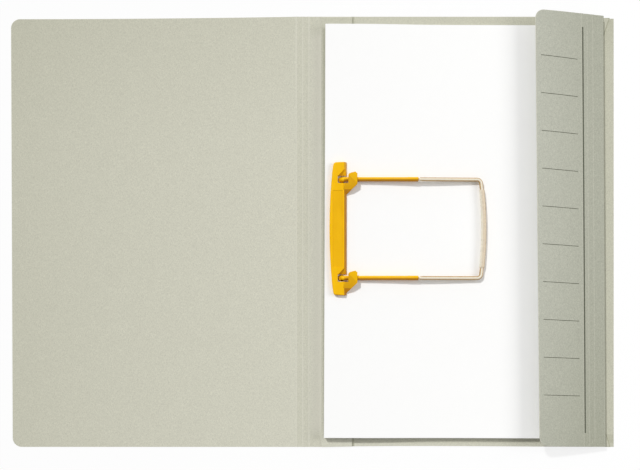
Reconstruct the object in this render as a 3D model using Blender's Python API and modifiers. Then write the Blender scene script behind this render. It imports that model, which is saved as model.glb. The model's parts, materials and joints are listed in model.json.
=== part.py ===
"""Flap folder: a scored card folder that lies open, with an inner side flap and a two-tube clip
that holds a stack of punched sheets.

The folder lies flat on the ground plane. X runs from the front cover to the back cover, Y runs up the
page and Z is up. The origin is on the ground, in the middle of the open folder. Lengths are metres.
"""

import math

import bmesh
import bpy
from mathutils import Vector

MM = 0.001

# Card of the folder
CARD = 0.5 * MM
FOLD_GAP = 0.3 * MM
LAY_GAP = 0.3 * MM
FOLDER_HEIGHT = 354.0 * MM
COVER_WIDTH = 235.0 * MM
COVER_CORNER = 6.5 * MM
SPINE_OUTER = 5.0 * MM
SPINE_MIDDLE = 5.0 * MM
SPINE_INNER = 10.0 * MM
BACK_WIDTH = 241.0 * MM
MOUNTING_STRIP_WIDTH = 27.0 * MM

# Side flap
FLAP_END_INSET = 0.75 * MM
FLAP_INSET = 8.7 * MM
FLAP_TAB_WIDTH = 15.0 * MM
FLAP_GUSSET_HEIGHT = 5.0 * MM
FLAP_ROOT = 10.0 * MM
FLAP_MIDDLE = 5.0 * MM
FLAP_INNER = 5.0 * MM
FLAP_PANEL = 40.0 * MM
FLAP_CORNER = 7.0 * MM
FLAP_TILT = math.radians(12.0)
FOLD_CLEARANCE = 0.2 * MM

# Punched sheets
SHEET_INSET = 2.9 * MM
SHEET_SIDE_ROOM = 19.4 * MM
SHEET_END_ROOM = 8.5 * MM
BUNDLE_THICKNESS = 2.6 * MM
DRAPE_MARGIN = 1.0 * MM
DRAPE_LENGTH = 75.0 * MM
PUNCH_DIAMETER = 6.0 * MM
PUNCH_PITCH = 80.0 * MM
PUNCH_INSET = 13.0 * MM

# Clip: base, tubes and bail
CLIP_SHIFT = 1.5 * MM
BASE_LENGTH = 108.0 * MM
BASE_WIDTH = 14.0 * MM
BASE_THICKNESS = 1.0 * MM
BASE_CORNER = 4.0 * MM
TUBE_DIAMETER = 3.5 * MM
TUBE_BORE = 2.3 * MM
TUBE_LENGTH = 63.1 * MM
TUBE_BORE_DEPTH = 43.0 * MM
TUBE_LIFT = 0.85 * MM
BAIL_DIAMETER = 3.2 * MM
BAIL_PIN_DIAMETER = 1.7 * MM
BAIL_PIN_LENGTH = 40.0 * MM
BAIL_REACH = 51.0 * MM
BAIL_CORNER = 4.0 * MM
BAIL_BOW = 2.2 * MM
BAIL_GRIP_DIAMETER = 4.3 * MM
BAIL_GRIP_LENGTH = 62.0 * MM
BAIL_GRIP_TAPER = 1.9 * MM

# Clip: compressor bar and hooks
BAR_LENGTH = 108.0 * MM
BAR_WIDTH = 14.1 * MM
BAR_BOW = 3.0 * MM
BAR_THICKNESS = 3.0 * MM
BAR_EDGE = 4.7 * MM
BAR_ROUND = 0.8 * MM
NOTCH_WIDTH = 6.1 * MM
NOTCH_MARGIN = 0.5 * MM
RECESS_LENGTH = 62.0 * MM
RECESS_WIDTH = 8.0 * MM
RECESS_DEPTH = 0.5 * MM
RECESS_INSET = 3.2 * MM
HOOK_REACH = 8.9 * MM
HOOK_FINGER_WIDTH = 7.5 * MM
HOOK_FINGER_PAST = 5.8 * MM
HOOK_FINGER_THICKNESS = 1.3 * MM
HOOK_ARM_DROP = 12.5 * MM
HOOK_LEDGE = 0.3 * MM
HOOK_ARM_TIP = 0.9 * MM
HOOK_ROUND = 0.3 * MM

# Sizes that follow the folder
FLAP_LENGTH = FOLDER_HEIGHT - 2 * FLAP_END_INSET
SHEET_WIDTH = BACK_WIDTH - SHEET_INSET - SHEET_SIDE_ROOM - FLAP_INSET
SHEET_HEIGHT = FOLDER_HEIGHT - 2 * SHEET_END_ROOM

# Places along X
LEFT_EDGE = -(COVER_WIDTH + SPINE_OUTER + SPINE_MIDDLE + SPINE_INNER + BACK_WIDTH) / 2
COVER_FOLD = LEFT_EDGE + COVER_WIDTH
SCORE_OUTER = COVER_FOLD + SPINE_OUTER
SCORE_INNER = SCORE_OUTER + SPINE_MIDDLE
BACK_FOLD = SCORE_INNER + SPINE_INNER
RIGHT_EDGE = BACK_FOLD + BACK_WIDTH
MOUNTING_RIGHT = BACK_FOLD + FOLD_GAP + MOUNTING_STRIP_WIDTH
FLAP_FOOT = RIGHT_EDGE - FLAP_INSET
SHEET_LEFT = BACK_FOLD + SHEET_INSET
PUNCH_X = SHEET_LEFT + PUNCH_INSET
BAR_RIGHT = PUNCH_X + BAR_EDGE
TUBE_END = PUNCH_X + TUBE_LENGTH

# Levels along Z
LAYER_BOTTOM = CARD + LAY_GAP
LAYER_TOP = LAYER_BOTTOM + CARD
BASE_BOTTOM = LAYER_TOP + LAY_GAP
BASE_TOP = BASE_BOTTOM + BASE_THICKNESS
SHEETS_HIGH = BASE_TOP + LAY_GAP
SHEETS_LOW = CARD + LAY_GAP
STACK_TOP = SHEETS_HIGH + 2 * BUNDLE_THICKNESS + LAY_GAP
BAR_BOTTOM = STACK_TOP + LAY_GAP
BAR_TOP = BAR_BOTTOM + BAR_THICKNESS
TUBE_LEVEL = STACK_TOP + TUBE_LIFT + TUBE_DIAMETER / 2
POST_TOP = TUBE_LEVEL - TUBE_DIAMETER / 2 - LAY_GAP
FINGER_BOTTOM = TUBE_LEVEL + TUBE_DIAMETER / 2 + LAY_GAP
HOOK_TOP = FINGER_BOTTOM + HOOK_FINGER_THICKNESS
FLAP_FOOT_LEVEL = (LAYER_BOTTOM + LAYER_TOP) / 2

FOLD_RELIEF = CARD / 2 + FOLD_CLEARANCE
TUBE_ROWS = {
    "upper": CLIP_SHIFT + PUNCH_PITCH / 2,
    "lower": CLIP_SHIFT - PUNCH_PITCH / 2,
}

# Finishes: sRGB colour and roughness
FINISHES = {
    "card": ((202, 201, 186), 0.85),
    "paper": ((250, 250, 248), 0.9),
    "clip_plastic": ((245, 190, 30), 0.35),
    "bail_plastic": ((228, 217, 196), 0.3),
}

# Fineness of the meshes
ROUND_SIDES = 24
ARC_STEPS = 6
EDGE_STEPS = 2
GRIP_STEPS = 3
SHARP_ANGLE = math.radians(35)
ROUND_ANGLE = math.radians(40)
WELD = 0.01 * MM


def linear(channel):
    """Linear light of one sRGB channel from 0 to 255."""
    value = channel / 255
    if value <= 0.04045:
        return value / 12.92
    return ((value + 0.055) / 1.055) ** 2.4


def clear_scene():
    for thing in list(bpy.data.objects):
        bpy.data.objects.remove(thing, do_unlink=True)


def new_collection(name):
    collection = bpy.data.collections.new(name)
    bpy.context.scene.collection.children.link(collection)
    return collection


def make_finishes():
    finishes = {}
    for name, (colour, roughness) in FINISHES.items():
        finish = bpy.data.materials.new(name)
        finish.use_nodes = True
        shader = finish.node_tree.nodes["Principled BSDF"]
        shader.inputs["Base Color"].default_value = [linear(c) for c in colour] + [1.0]
        shader.inputs["Roughness"].default_value = roughness
        finishes[name] = finish
    return finishes


class Workshop:
    """Makes named objects in the folder's collection and cutters in another."""

    def __init__(self):
        self.parts = new_collection("flap_folder")
        self.cutters = new_collection("cutters")
        self.finishes = make_finishes()
        self.ground = bpy.data.objects.new("folder_ground", None)
        self.parts.objects.link(self.ground)

    def part(self, name, data, finish, origin=Vector(), parent=None, turn=(0.0, 0.0, 0.0)):
        """One piece at a place and a turn in its parent's own frame."""
        piece = bpy.data.objects.new(name, data)
        data.materials.append(self.finishes[finish])
        self.parts.objects.link(piece)
        piece.parent = parent or self.ground
        piece.location = origin
        piece.rotation_euler = turn
        return piece

    def helper(self, name, data):
        """A cutter or an addition for a Boolean, which isn't a piece."""
        tool = bpy.data.objects.new(name, data)
        self.cutters.objects.link(tool)
        tool.hide_render = True
        tool.display_type = "WIRE"
        return tool


def boolean(piece, tool, operation):
    modifier = piece.modifiers.new(tool.name, "BOOLEAN")
    modifier.operation = operation
    modifier.object = tool


def round_edges(piece, width):
    modifier = piece.modifiers.new("rounded_edges", "BEVEL")
    modifier.width = width
    modifier.segments = EDGE_STEPS
    modifier.limit_method = "ANGLE"
    modifier.angle_limit = ROUND_ANGLE


def mesh_from(bm, name):
    mesh = bpy.data.meshes.new(name)
    bm.to_mesh(mesh)
    bm.free()
    return mesh


def smooth(mesh):
    mesh.shade_smooth()
    mesh.set_sharp_from_angle(angle=SHARP_ANGLE)
    return mesh


def box_bmesh(low, high):
    bm = bmesh.new()
    bmesh.ops.create_cube(bm, size=1.0)
    for vertex in bm.verts:
        for axis in range(3):
            vertex.co[axis] = high[axis] if vertex.co[axis] > 0 else low[axis]
    return bm


def card_mesh(name, start, end, length, bottom, corner=0.0):
    """A card panel from start to end along X. A corner radius rounds the two corners at end."""
    low = (min(start, end), -length / 2, bottom)
    high = (max(start, end), length / 2, bottom + CARD)
    bm = box_bmesh(low, high)
    if corner:
        upright = [
            edge
            for edge in bm.edges
            if all(abs(v.co.x - end) < WELD for v in edge.verts)
            and abs(edge.verts[0].co.y - edge.verts[1].co.y) < WELD
        ]
        bmesh.ops.bevel(
            bm, geom=upright, offset=corner, segments=ARC_STEPS, profile=0.5, affect="EDGES"
        )
    return mesh_from(bm, name)


def cylinder_mesh(name, diameter, centre, bottom, top):
    bm = bmesh.new()
    bmesh.ops.create_cone(
        bm,
        cap_ends=True,
        segments=ROUND_SIDES,
        radius1=diameter / 2,
        radius2=diameter / 2,
        depth=top - bottom,
    )
    bmesh.ops.translate(bm, verts=bm.verts, vec=(centre[0], centre[1], (bottom + top) / 2))
    return smooth(mesh_from(bm, name))


def outline_mesh(name, points, bottom, top):
    """A solid with the given outline in X and Y, from bottom to top."""
    curve = bpy.data.curves.new(name, "CURVE")
    curve.dimensions = "2D"
    curve.fill_mode = "BOTH"
    curve.extrude = (top - bottom) / 2
    spline = curve.splines.new("POLY")
    spline.points.add(len(points) - 1)
    for target, (x, y) in zip(spline.points, points):
        target.co = (x, y, 0.0, 1.0)
    spline.use_cyclic_u = True
    guide = bpy.data.objects.new(name, curve)
    bpy.context.scene.collection.objects.link(guide)
    graph = bpy.context.evaluated_depsgraph_get()
    mesh = bpy.data.meshes.new_from_object(guide.evaluated_get(graph))
    bpy.data.objects.remove(guide, do_unlink=True)
    mesh.name = name
    mesh.materials.clear()
    bm = bmesh.new()
    bm.from_mesh(mesh)
    bmesh.ops.remove_doubles(bm, verts=bm.verts, dist=WELD)
    bmesh.ops.translate(bm, verts=bm.verts, vec=(0.0, 0.0, (bottom + top) / 2))
    bmesh.ops.recalc_face_normals(bm, faces=bm.faces)
    bm.to_mesh(mesh)
    bm.free()
    return mesh


def arc(centre, radius, start, end, steps=ARC_STEPS):
    """Points on an arc, with angles in degrees."""
    points = []
    for step in range(steps + 1):
        angle = math.radians(start + (end - start) * step / steps)
        points.append((centre[0] + radius * math.cos(angle), centre[1] + radius * math.sin(angle)))
    return points


def make_covers(shop):
    """The folder's own card: back cover, three spine strips and front cover, each hung on the last."""
    slot = FOLD_GAP / 2
    below = -CARD
    back = card_mesh("back_cover", BACK_FOLD + slot, RIGHT_EDGE, FOLDER_HEIGHT, 0.0)
    shop.part("back_cover", back, "card")
    panels = [
        ("spine_strip_inner", BACK_FOLD, SPINE_INNER),
        ("spine_strip_middle", SCORE_INNER, SPINE_MIDDLE),
        ("spine_strip_outer", SCORE_OUTER, SPINE_OUTER),
    ]
    parent = None
    last = Vector((0.0, 0.0, 0.0))
    for name, fold, width in panels:
        mesh = card_mesh(name, -slot, slot - width, FOLDER_HEIGHT, below)
        hinge = Vector((fold, 0.0, CARD))
        parent = shop.part(name, mesh, "card", hinge - last, parent)
        last = hinge
    cover = card_mesh(
        "front_cover", -slot, -COVER_WIDTH, FOLDER_HEIGHT, below, corner=COVER_CORNER
    )
    shop.part("front_cover", cover, "card", Vector((COVER_FOLD, 0.0, CARD)) - last, parent)
    mounting = card_mesh(
        "mounting_strip", BACK_FOLD + FOLD_GAP, MOUNTING_RIGHT, FOLDER_HEIGHT, LAYER_BOTTOM
    )
    shop.part("mounting_strip", mounting, "card")


def make_flap(shop):
    """The flap card: a glued tab, a low upright gusset, three scored strips and the wide panel.

    Each panel lies along its own X axis, with its fold at its origin, in the frame of the one before.
    """
    middle = -CARD / 2
    slot = FOLD_GAP / 2
    tab_end = FLAP_FOOT - FOLD_RELIEF
    tab = card_mesh("flap_glue_tab", tab_end - FLAP_TAB_WIDTH, tab_end, FLAP_LENGTH, LAYER_BOTTOM)
    shop.part("flap_glue_tab", tab, "card")

    gusset = card_mesh(
        "flap_gusset", FOLD_RELIEF, FLAP_GUSSET_HEIGHT - FOLD_RELIEF, FLAP_LENGTH, middle
    )
    upright = math.radians(-90)
    foot = Vector((FLAP_FOOT, 0.0, FLAP_FOOT_LEVEL))
    parent = shop.part("flap_gusset", gusset, "card", foot, None, (0.0, upright, 0.0))

    over = -(math.radians(90) - FLAP_TILT)
    root = card_mesh("flap_strip_root", FOLD_RELIEF, FLAP_ROOT - slot, FLAP_LENGTH, middle)
    fold = Vector((FLAP_GUSSET_HEIGHT, 0.0, 0.0))
    parent = shop.part("flap_strip_root", root, "card", fold, parent, (0.0, over, 0.0))

    score = Vector((FLAP_ROOT, 0.0, 0.0))
    for name, width in (("flap_strip_middle", FLAP_MIDDLE), ("flap_strip_inner", FLAP_INNER)):
        strip = card_mesh(name, slot, width - slot, FLAP_LENGTH, middle)
        parent = shop.part(name, strip, "card", score, parent)
        score = Vector((width, 0.0, 0.0))
    panel = card_mesh("flap_panel", slot, FLAP_PANEL, FLAP_LENGTH, middle, corner=FLAP_CORNER)
    shop.part("flap_panel", panel, "card", score, parent)


def drape(x):
    """Level of the lowest sheet: high over the clip's base, then easing down onto the back cover."""
    share = (x - MOUNTING_RIGHT - DRAPE_MARGIN) / DRAPE_LENGTH
    share = min(max(share, 0.0), 1.0)
    ease = share * share * (3 - 2 * share)
    return SHEETS_HIGH + (SHEETS_LOW - SHEETS_HIGH) * ease


def bundle_mesh(name, lift):
    """A bundle of sheets: a grid that follows the drape, raised by lift and pulled up to its thickness."""
    drape_start = MOUNTING_RIGHT + DRAPE_MARGIN
    steps = 2 * ARC_STEPS
    stations = [SHEET_LEFT]
    stations += [drape_start + DRAPE_LENGTH * step / steps for step in range(steps + 1)]
    stations += [SHEET_LEFT + SHEET_WIDTH]
    bm = bmesh.new()
    bmesh.ops.create_grid(bm, x_segments=len(stations) - 1, y_segments=1, size=1.0)
    last = len(stations) - 1
    for vertex in bm.verts:
        x = stations[round((vertex.co.x + 1) / 2 * last)]
        side = 1 if vertex.co.y > 0 else -1
        vertex.co = (x, side * SHEET_HEIGHT / 2, drape(x) + lift)
    raised = bmesh.ops.extrude_face_region(bm, geom=list(bm.faces))["geom"]
    top = [item for item in raised if isinstance(item, bmesh.types.BMVert)]
    bmesh.ops.translate(bm, verts=top, vec=(0.0, 0.0, BUNDLE_THICKNESS))
    bmesh.ops.recalc_face_normals(bm, faces=bm.faces)
    return mesh_from(bm, name)


def make_sheets(shop):
    """Two bundles of punched sheets, one on the other."""
    for name, lift in (("sheets_lower", 0.0), ("sheets_upper", BUNDLE_THICKNESS + LAY_GAP)):
        bundle = shop.part(name, bundle_mesh(name, lift), "paper")
        for row, y in TUBE_ROWS.items():
            punch = cylinder_mesh(
                f"punch_{name}_{row}", PUNCH_DIAMETER, (PUNCH_X, y), BASE_BOTTOM, BAR_TOP
            )
            boolean(bundle, shop.helper(punch.name, punch), "DIFFERENCE")


def make_clip_base(shop):
    """The plate under the sheets, with a post up through each punched hole."""
    half_width = BASE_WIDTH / 2 - BASE_CORNER
    half_length = BASE_LENGTH / 2 - BASE_CORNER
    points = []
    for sign_x, sign_y, start in ((1, 1, 0), (-1, 1, 90), (-1, -1, 180), (1, -1, 270)):
        centre = (PUNCH_X + sign_x * half_width, CLIP_SHIFT + sign_y * half_length)
        points += arc(centre, BASE_CORNER, start, start + 90)
    plate = outline_mesh("clip_base", points, BASE_BOTTOM, BASE_TOP)
    base = shop.part("clip_base", plate, "clip_plastic")
    rooted = (BASE_BOTTOM + BASE_TOP) / 2
    for row, y in TUBE_ROWS.items():
        post = cylinder_mesh(f"post_{row}", TUBE_DIAMETER, (PUNCH_X, y), rooted, POST_TOP)
        boolean(base, shop.helper(post.name, post), "UNION")


def tube_mesh(name):
    """Half section of a tube along local Z: a round knuckle at the origin and a bore at the far end."""
    radius = TUBE_DIAMETER / 2
    bore = TUBE_BORE / 2
    section = [
        (0.0, TUBE_LENGTH - TUBE_BORE_DEPTH),
        (bore, TUBE_LENGTH - TUBE_BORE_DEPTH),
        (bore, TUBE_LENGTH),
        (radius, TUBE_LENGTH),
    ]
    section += arc((0.0, 0.0), radius, 0, -90)
    bm = bmesh.new()
    points = [bm.verts.new((x, 0.0, z)) for x, z in section]
    for first, second in zip(points, points[1:]):
        bm.edges.new((first, second))
    return mesh_from(bm, name)


def make_tubes(shop):
    """The two tubes that bend over at the holes. Each turns about the centre of its knuckle."""
    for row, y in TUBE_ROWS.items():
        name = f"tube_{row}"
        hinge = Vector((PUNCH_X, y, TUBE_LEVEL))
        lying = (0.0, math.radians(90), 0.0)
        tube = shop.part(name, tube_mesh(name), "clip_plastic", hinge, None, lying)
        turned = tube.modifiers.new("turned", "SCREW")
        turned.axis = "Z"
        turned.steps = ROUND_SIDES
        turned.render_steps = ROUND_SIDES
        turned.use_merge_vertices = True
        turned.merge_threshold = WELD
        turned.use_smooth_shade = False


def bail_route():
    """Points of half the bail with their diameters, from a pin's tip to the middle of the crossbar."""
    shoulder = TUBE_END + LAY_GAP
    half = PUNCH_PITCH / 2
    crossbar = shoulder + BAIL_REACH
    straight = half - BAIL_CORNER
    route = [
        (shoulder - BAIL_PIN_LENGTH, half, BAIL_PIN_DIAMETER),
        (shoulder - LAY_GAP / 2, half, BAIL_PIN_DIAMETER),
        (shoulder, half, BAIL_DIAMETER),
    ]
    corner = arc((crossbar - BAIL_CORNER, straight), BAIL_CORNER, 90, 0)
    route += [(x, y, BAIL_DIAMETER) for x, y in corner]
    grip = BAIL_GRIP_LENGTH / 2
    stations = [(grip + BAIL_GRIP_TAPER, BAIL_DIAMETER)]
    stations += [(grip * (1 - step / GRIP_STEPS), BAIL_GRIP_DIAMETER) for step in range(GRIP_STEPS + 1)]
    for y, diameter in stations:
        route.append((crossbar + BAIL_BOW * (1 - (y / straight) ** 2), y, diameter))
    return route


def make_bail(shop):
    """The U-shaped rod, whose two thin pins go into the tubes."""
    half = bail_route()
    mirrored = [(x, -y, diameter) for x, y, diameter in reversed(half[:-1])]
    route = half + mirrored
    curve = bpy.data.curves.new("bail", "CURVE")
    curve.dimensions = "3D"
    curve.bevel_depth = BAIL_DIAMETER / 2
    curve.bevel_resolution = EDGE_STEPS
    curve.use_fill_caps = True
    spline = curve.splines.new("POLY")
    spline.points.add(len(route) - 1)
    for target, (x, y, diameter) in zip(spline.points, route):
        target.co = (x - TUBE_END, y, 0.0, 1.0)
        target.radius = diameter / BAIL_DIAMETER
    shop.part("bail", curve, "bail_plastic", Vector((TUBE_END, CLIP_SHIFT, TUBE_LEVEL)))


def bar_outline():
    """Outline of the compressor bar: a straight right side with a notch at each tube, a bowed left side."""
    half = BAR_LENGTH / 2
    end_width = BAR_WIDTH - BAR_BOW
    notch_floor = PUNCH_X - TUBE_DIAMETER / 2 - NOTCH_MARGIN
    points = [(BAR_RIGHT, CLIP_SHIFT - half)]
    for y in sorted(TUBE_ROWS.values()):
        points += [
            (BAR_RIGHT, y - NOTCH_WIDTH / 2),
            (notch_floor, y - NOTCH_WIDTH / 2),
            (notch_floor, y + NOTCH_WIDTH / 2),
            (BAR_RIGHT, y + NOTCH_WIDTH / 2),
        ]
    points.append((BAR_RIGHT, CLIP_SHIFT + half))
    steps = 2 * ARC_STEPS
    for step in range(steps + 1):
        along = 1 - 2 * step / steps
        width = end_width + BAR_BOW * (1 - along * along)
        points.append((BAR_RIGHT - width, CLIP_SHIFT + half * along))
    return points


def make_bar(shop):
    """The bar that presses the sheets down, with a shallow plain panel in its top."""
    mesh = outline_mesh("compressor_bar", bar_outline(), BAR_BOTTOM, BAR_TOP)
    bar = shop.part("compressor_bar", mesh, "clip_plastic")
    round_edges(bar, BAR_ROUND)
    right = BAR_RIGHT - RECESS_INSET
    recess = box_bmesh(
        (right - RECESS_WIDTH, CLIP_SHIFT - RECESS_LENGTH / 2, BAR_TOP - RECESS_DEPTH),
        (right, CLIP_SHIFT + RECESS_LENGTH / 2, BAR_TOP + RECESS_DEPTH),
    )
    tool = shop.helper("recess_cutter", mesh_from(recess, "recess_cutter"))
    boolean(bar, tool, "DIFFERENCE")


def make_hooks(shop):
    """A snap hook beside each notch: an arm on the bar's right side and a finger over the tube."""
    root = BAR_RIGHT + LAY_GAP
    tip = BAR_RIGHT + HOOK_REACH
    finger_left = tip - HOOK_FINGER_WIDTH
    beside = NOTCH_WIDTH / 2
    inside = HOOK_LEDGE
    for row, y in TUBE_ROWS.items():
        name = f"hook_{row}"
        plan = [
            (root, y - HOOK_ARM_DROP),
            (tip, y - beside),
            (tip, y + HOOK_FINGER_PAST),
            (finger_left, y + HOOK_FINGER_PAST),
            (finger_left, y - beside),
            (root, y - beside),
        ]
        finger = outline_mesh(name, plan, FINGER_BOTTOM, HOOK_TOP)
        hook = shop.part(name, finger, "clip_plastic")
        arm_plan = [
            (root + inside, y - HOOK_ARM_DROP + HOOK_ARM_TIP),
            (tip - inside, y - beside - inside),
            (tip - inside, y - beside + inside),
            (root + inside, y - beside - inside),
        ]
        middle = (FINGER_BOTTOM + HOOK_TOP) / 2
        arm = outline_mesh(f"arm_{row}", arm_plan, BAR_BOTTOM, middle)
        boolean(hook, shop.helper(arm.name, arm), "UNION")
        round_edges(hook, HOOK_ROUND)


def main():
    clear_scene()
    shop = Workshop()
    make_covers(shop)
    make_flap(shop)
    make_sheets(shop)
    make_clip_base(shop)
    make_tubes(shop)
    make_bail(shop)
    make_bar(shop)
    make_hooks(shop)


main()
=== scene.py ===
"""Dresses a packed flap folder: scored card, a stack of punched sheets and a two-tube clip.

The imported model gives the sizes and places. Each operator makes one piece or one group of like pieces, and
the panel in the sidebar lists them in the order in which they are made. Lengths are metres.
"""

import json
import math
import random

import bmesh
import bpy
from bpy.props import FloatProperty, FloatVectorProperty, IntProperty, PointerProperty
from mathutils import Matrix, Vector
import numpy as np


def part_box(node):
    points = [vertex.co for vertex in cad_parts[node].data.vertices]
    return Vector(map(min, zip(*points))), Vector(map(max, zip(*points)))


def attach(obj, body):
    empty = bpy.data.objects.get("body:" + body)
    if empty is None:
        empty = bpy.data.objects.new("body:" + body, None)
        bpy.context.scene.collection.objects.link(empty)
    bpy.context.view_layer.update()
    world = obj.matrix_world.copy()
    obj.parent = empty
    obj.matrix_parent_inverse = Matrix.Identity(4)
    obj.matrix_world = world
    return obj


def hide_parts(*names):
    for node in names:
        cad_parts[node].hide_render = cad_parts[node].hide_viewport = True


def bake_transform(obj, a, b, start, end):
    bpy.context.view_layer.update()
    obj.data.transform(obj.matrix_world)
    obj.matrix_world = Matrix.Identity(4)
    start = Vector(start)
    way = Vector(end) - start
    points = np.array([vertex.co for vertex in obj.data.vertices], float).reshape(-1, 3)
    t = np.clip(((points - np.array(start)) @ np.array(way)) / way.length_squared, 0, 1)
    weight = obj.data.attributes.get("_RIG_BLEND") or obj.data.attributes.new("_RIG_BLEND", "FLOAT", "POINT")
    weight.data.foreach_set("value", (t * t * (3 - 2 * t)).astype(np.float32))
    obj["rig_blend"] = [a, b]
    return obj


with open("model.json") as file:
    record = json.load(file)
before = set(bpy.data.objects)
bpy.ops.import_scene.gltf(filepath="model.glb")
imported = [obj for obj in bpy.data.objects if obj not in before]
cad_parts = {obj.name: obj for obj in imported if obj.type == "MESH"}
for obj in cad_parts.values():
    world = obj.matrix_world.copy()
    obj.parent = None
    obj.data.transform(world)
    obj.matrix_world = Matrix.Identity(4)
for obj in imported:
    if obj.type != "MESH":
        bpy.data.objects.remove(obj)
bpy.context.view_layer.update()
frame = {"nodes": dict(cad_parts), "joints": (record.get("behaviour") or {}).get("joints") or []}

bl_info = {
    "name": "Flap folder dressing",
    "version": (1, 0, 0),
    "blender": (4, 5, 0),
    "location": "3D View > Sidebar > Folder",
    "description": "Makes the card, sheets and clip of a flap folder around its packed model",
    "category": "Object",
}

MM = 0.001
JOINTS = {joint["name"]: joint for joint in frame["joints"]}
SENSOR = 36.0

# Fineness of the meshes
CORNER_STEPS = 10
CREASE_STEPS = 14
FOLD_STEPS = 8
DRAPE_STEPS = 16
ROUND_SIDES = 32
ROD_SIDES = 24
EDGE_STEPS = 2
SHARP_ANGLE = math.radians(38)
TOUCH = 0.001 * MM

# Points of two mirrored halves that are this close become one
SEAM = 0.01 * MM

# A face with a normal this steep or steeper is level
LEVEL = 0.99

# Takes the peak of share * share * (1 - share) to 1
BOW_PEAK = 27 / 4

# Panels of card between two creases: body, node, and how far the panel is darkened
COVER_PANELS = (
    ("back", "back_cover", 0.0),
    ("spine_inner", "spine_strip_inner", 0.0),
    ("spine_middle", "spine_strip_middle", 0.13),
    ("spine_outer", "spine_strip_outer", 0.15),
    ("cover", "front_cover", 0.0),
)
# Painted shade: the flap's strips and panel darken towards its fold
FLAP_PANELS = (
    ("flap_root", "flap_strip_root", 0.41),
    ("flap_middle", "flap_strip_middle", 0.4),
    ("flap_inner", "flap_strip_inner", 0.37),
    ("flap", "flap_panel", 0.3),
)
COVER_FOLDS = ("spine_fold", "spine_score_inner", "spine_score_outer", "cover_fold")
FLAP_SCORES = ("flap_score_root", "flap_score_middle", "flap_score_inner")

# A ridge's width against its crease, and the groove behind it against the ridge's height
RIDGE_SHARE = 0.7
GROOVE_SHARE = 0.7

# Where the painted shadow band along the back cover's foot starts, is full, is full for the last time and
# ends
FOOT_BAND = (2.6 * MM, 3.6 * MM, 9.5 * MM, 11.0 * MM)

# Share of its pitch in the stack that a leaf fills, and the square cut out round a hole against the hole
LEAF_SHARE = 0.8
HOLE_ROOM = 1.5

# Corners of a hook's tip, from its finger's left side and its top
HOOK_TIP = ((0.0, -2.6 * MM), (0.6 * MM, -1.5 * MM), (2.0 * MM, -0.9 * MM))

# Outward directions of the flat faces on top of a hook: the facet at its foot, its finger and its root
HOOK_FACES = ((-0.7, -3.0, 4.2), (-0.16, -0.16, 0.97), (-0.57, 0.0, 0.82))

# Painted shade on the clip, as a share of its brown: on level faces, what a face gains as it leans to the
# right or down the page, away from the light, the share of that gain above the upper tube, and the foot of an
# elbow; the left shoulder takes none and reads lighter, a painted highlight
BAR_TOP_SHADE = 0.12
BAR_PANEL_SHADE = 0.24
BAR_RIGHT_SHADE = 1.6
BAR_FOOT_SHADE = 1.2
BAR_UPPER_SHARE = 0.3
HOOK_TOP_SHADE = 0.2
HOOK_FOOT_SHADE = 1.6
ELBOW_SHADE = 0.7

# Painted shade on a tube's lower side on the page: how far above its middle it starts, and the fall to full
# depth, in radii
TUBE_SHADE_START = 0.4
TUBE_SHADE_FALL = 0.7

# Thickness of a pin's tip and of the shoulder beside it, against the pin
PIN_TIP_SHARE = 0.7
SHOULDER_SHARE = 1.3

# Where a leg swells into the grip: distance from the grip, share of the swell, and evenness of the flanks'
# painted shade
GRIP_NECK = ((2.4 * MM, 0.0, 1.0), (1.2 * MM, 0.0, 0.8), (0.6 * MM, 0.5, 0.3))

# Evenness of the flanks' painted shade at the end of the taper after a shoulder
TAPER_EVEN = 0.6

# Where the painted shade on a leg's flanks starts, from its middle, and over what width, in radii
FLANK_START = 0.3
FLANK_WIDTH = 0.35

# The grip's painted shade starts from its inner side on, over a width, to a depth, with more on its outer
# side
GRIP_START = -0.6
GRIP_WIDTH = 0.3
GRIP_SHADE = 0.35
GRIP_OUTER_SHADE = 0.25

# Sockets of the colour form of the Mix node
MIX_FIRST, MIX_SECOND, MIX_RESULT = 6, 7, 2


def srgb(red, green, blue):
    """Linear colour of an sRGB colour whose channels run from 0 to 255."""
    linear = []
    for channel in (red, green, blue):
        value = channel / 255
        linear.append(value / 12.92 if value <= 0.04045 else ((value + 0.055) / 1.055) ** 2.4)
    return linear


def shaded(colour, amount):
    """The colour made lighter or darker by a factor, with full alpha."""
    return [min(channel * amount, 1.0) for channel in colour] + [1.0]


def clamped(value):
    """The value, held between 0 and 1."""
    return min(max(value, 0.0), 1.0)


def fold_at(joint):
    """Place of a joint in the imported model."""
    return Vector(JOINTS[joint]["pos_m"])


def length(name, description, default):
    return FloatProperty(name=name, description=description, default=default, unit="LENGTH", precision=5)


def number(name, description, default):
    return FloatProperty(name=name, description=description, default=default, precision=4)


def turning(name, description, default):
    return FloatProperty(name=name, description=description, default=default, subtype="ANGLE")


def strength(name, description, default):
    return FloatProperty(name=name, description=description, default=default, min=0.0)


def triple(name, description, default):
    return FloatVectorProperty(name=name, description=description, default=default)


def colour(name, description, default):
    return FloatVectorProperty(
        name=name, description=description, default=srgb(*default), size=3, min=0.0, max=1.0, subtype="COLOR"
    )


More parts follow.
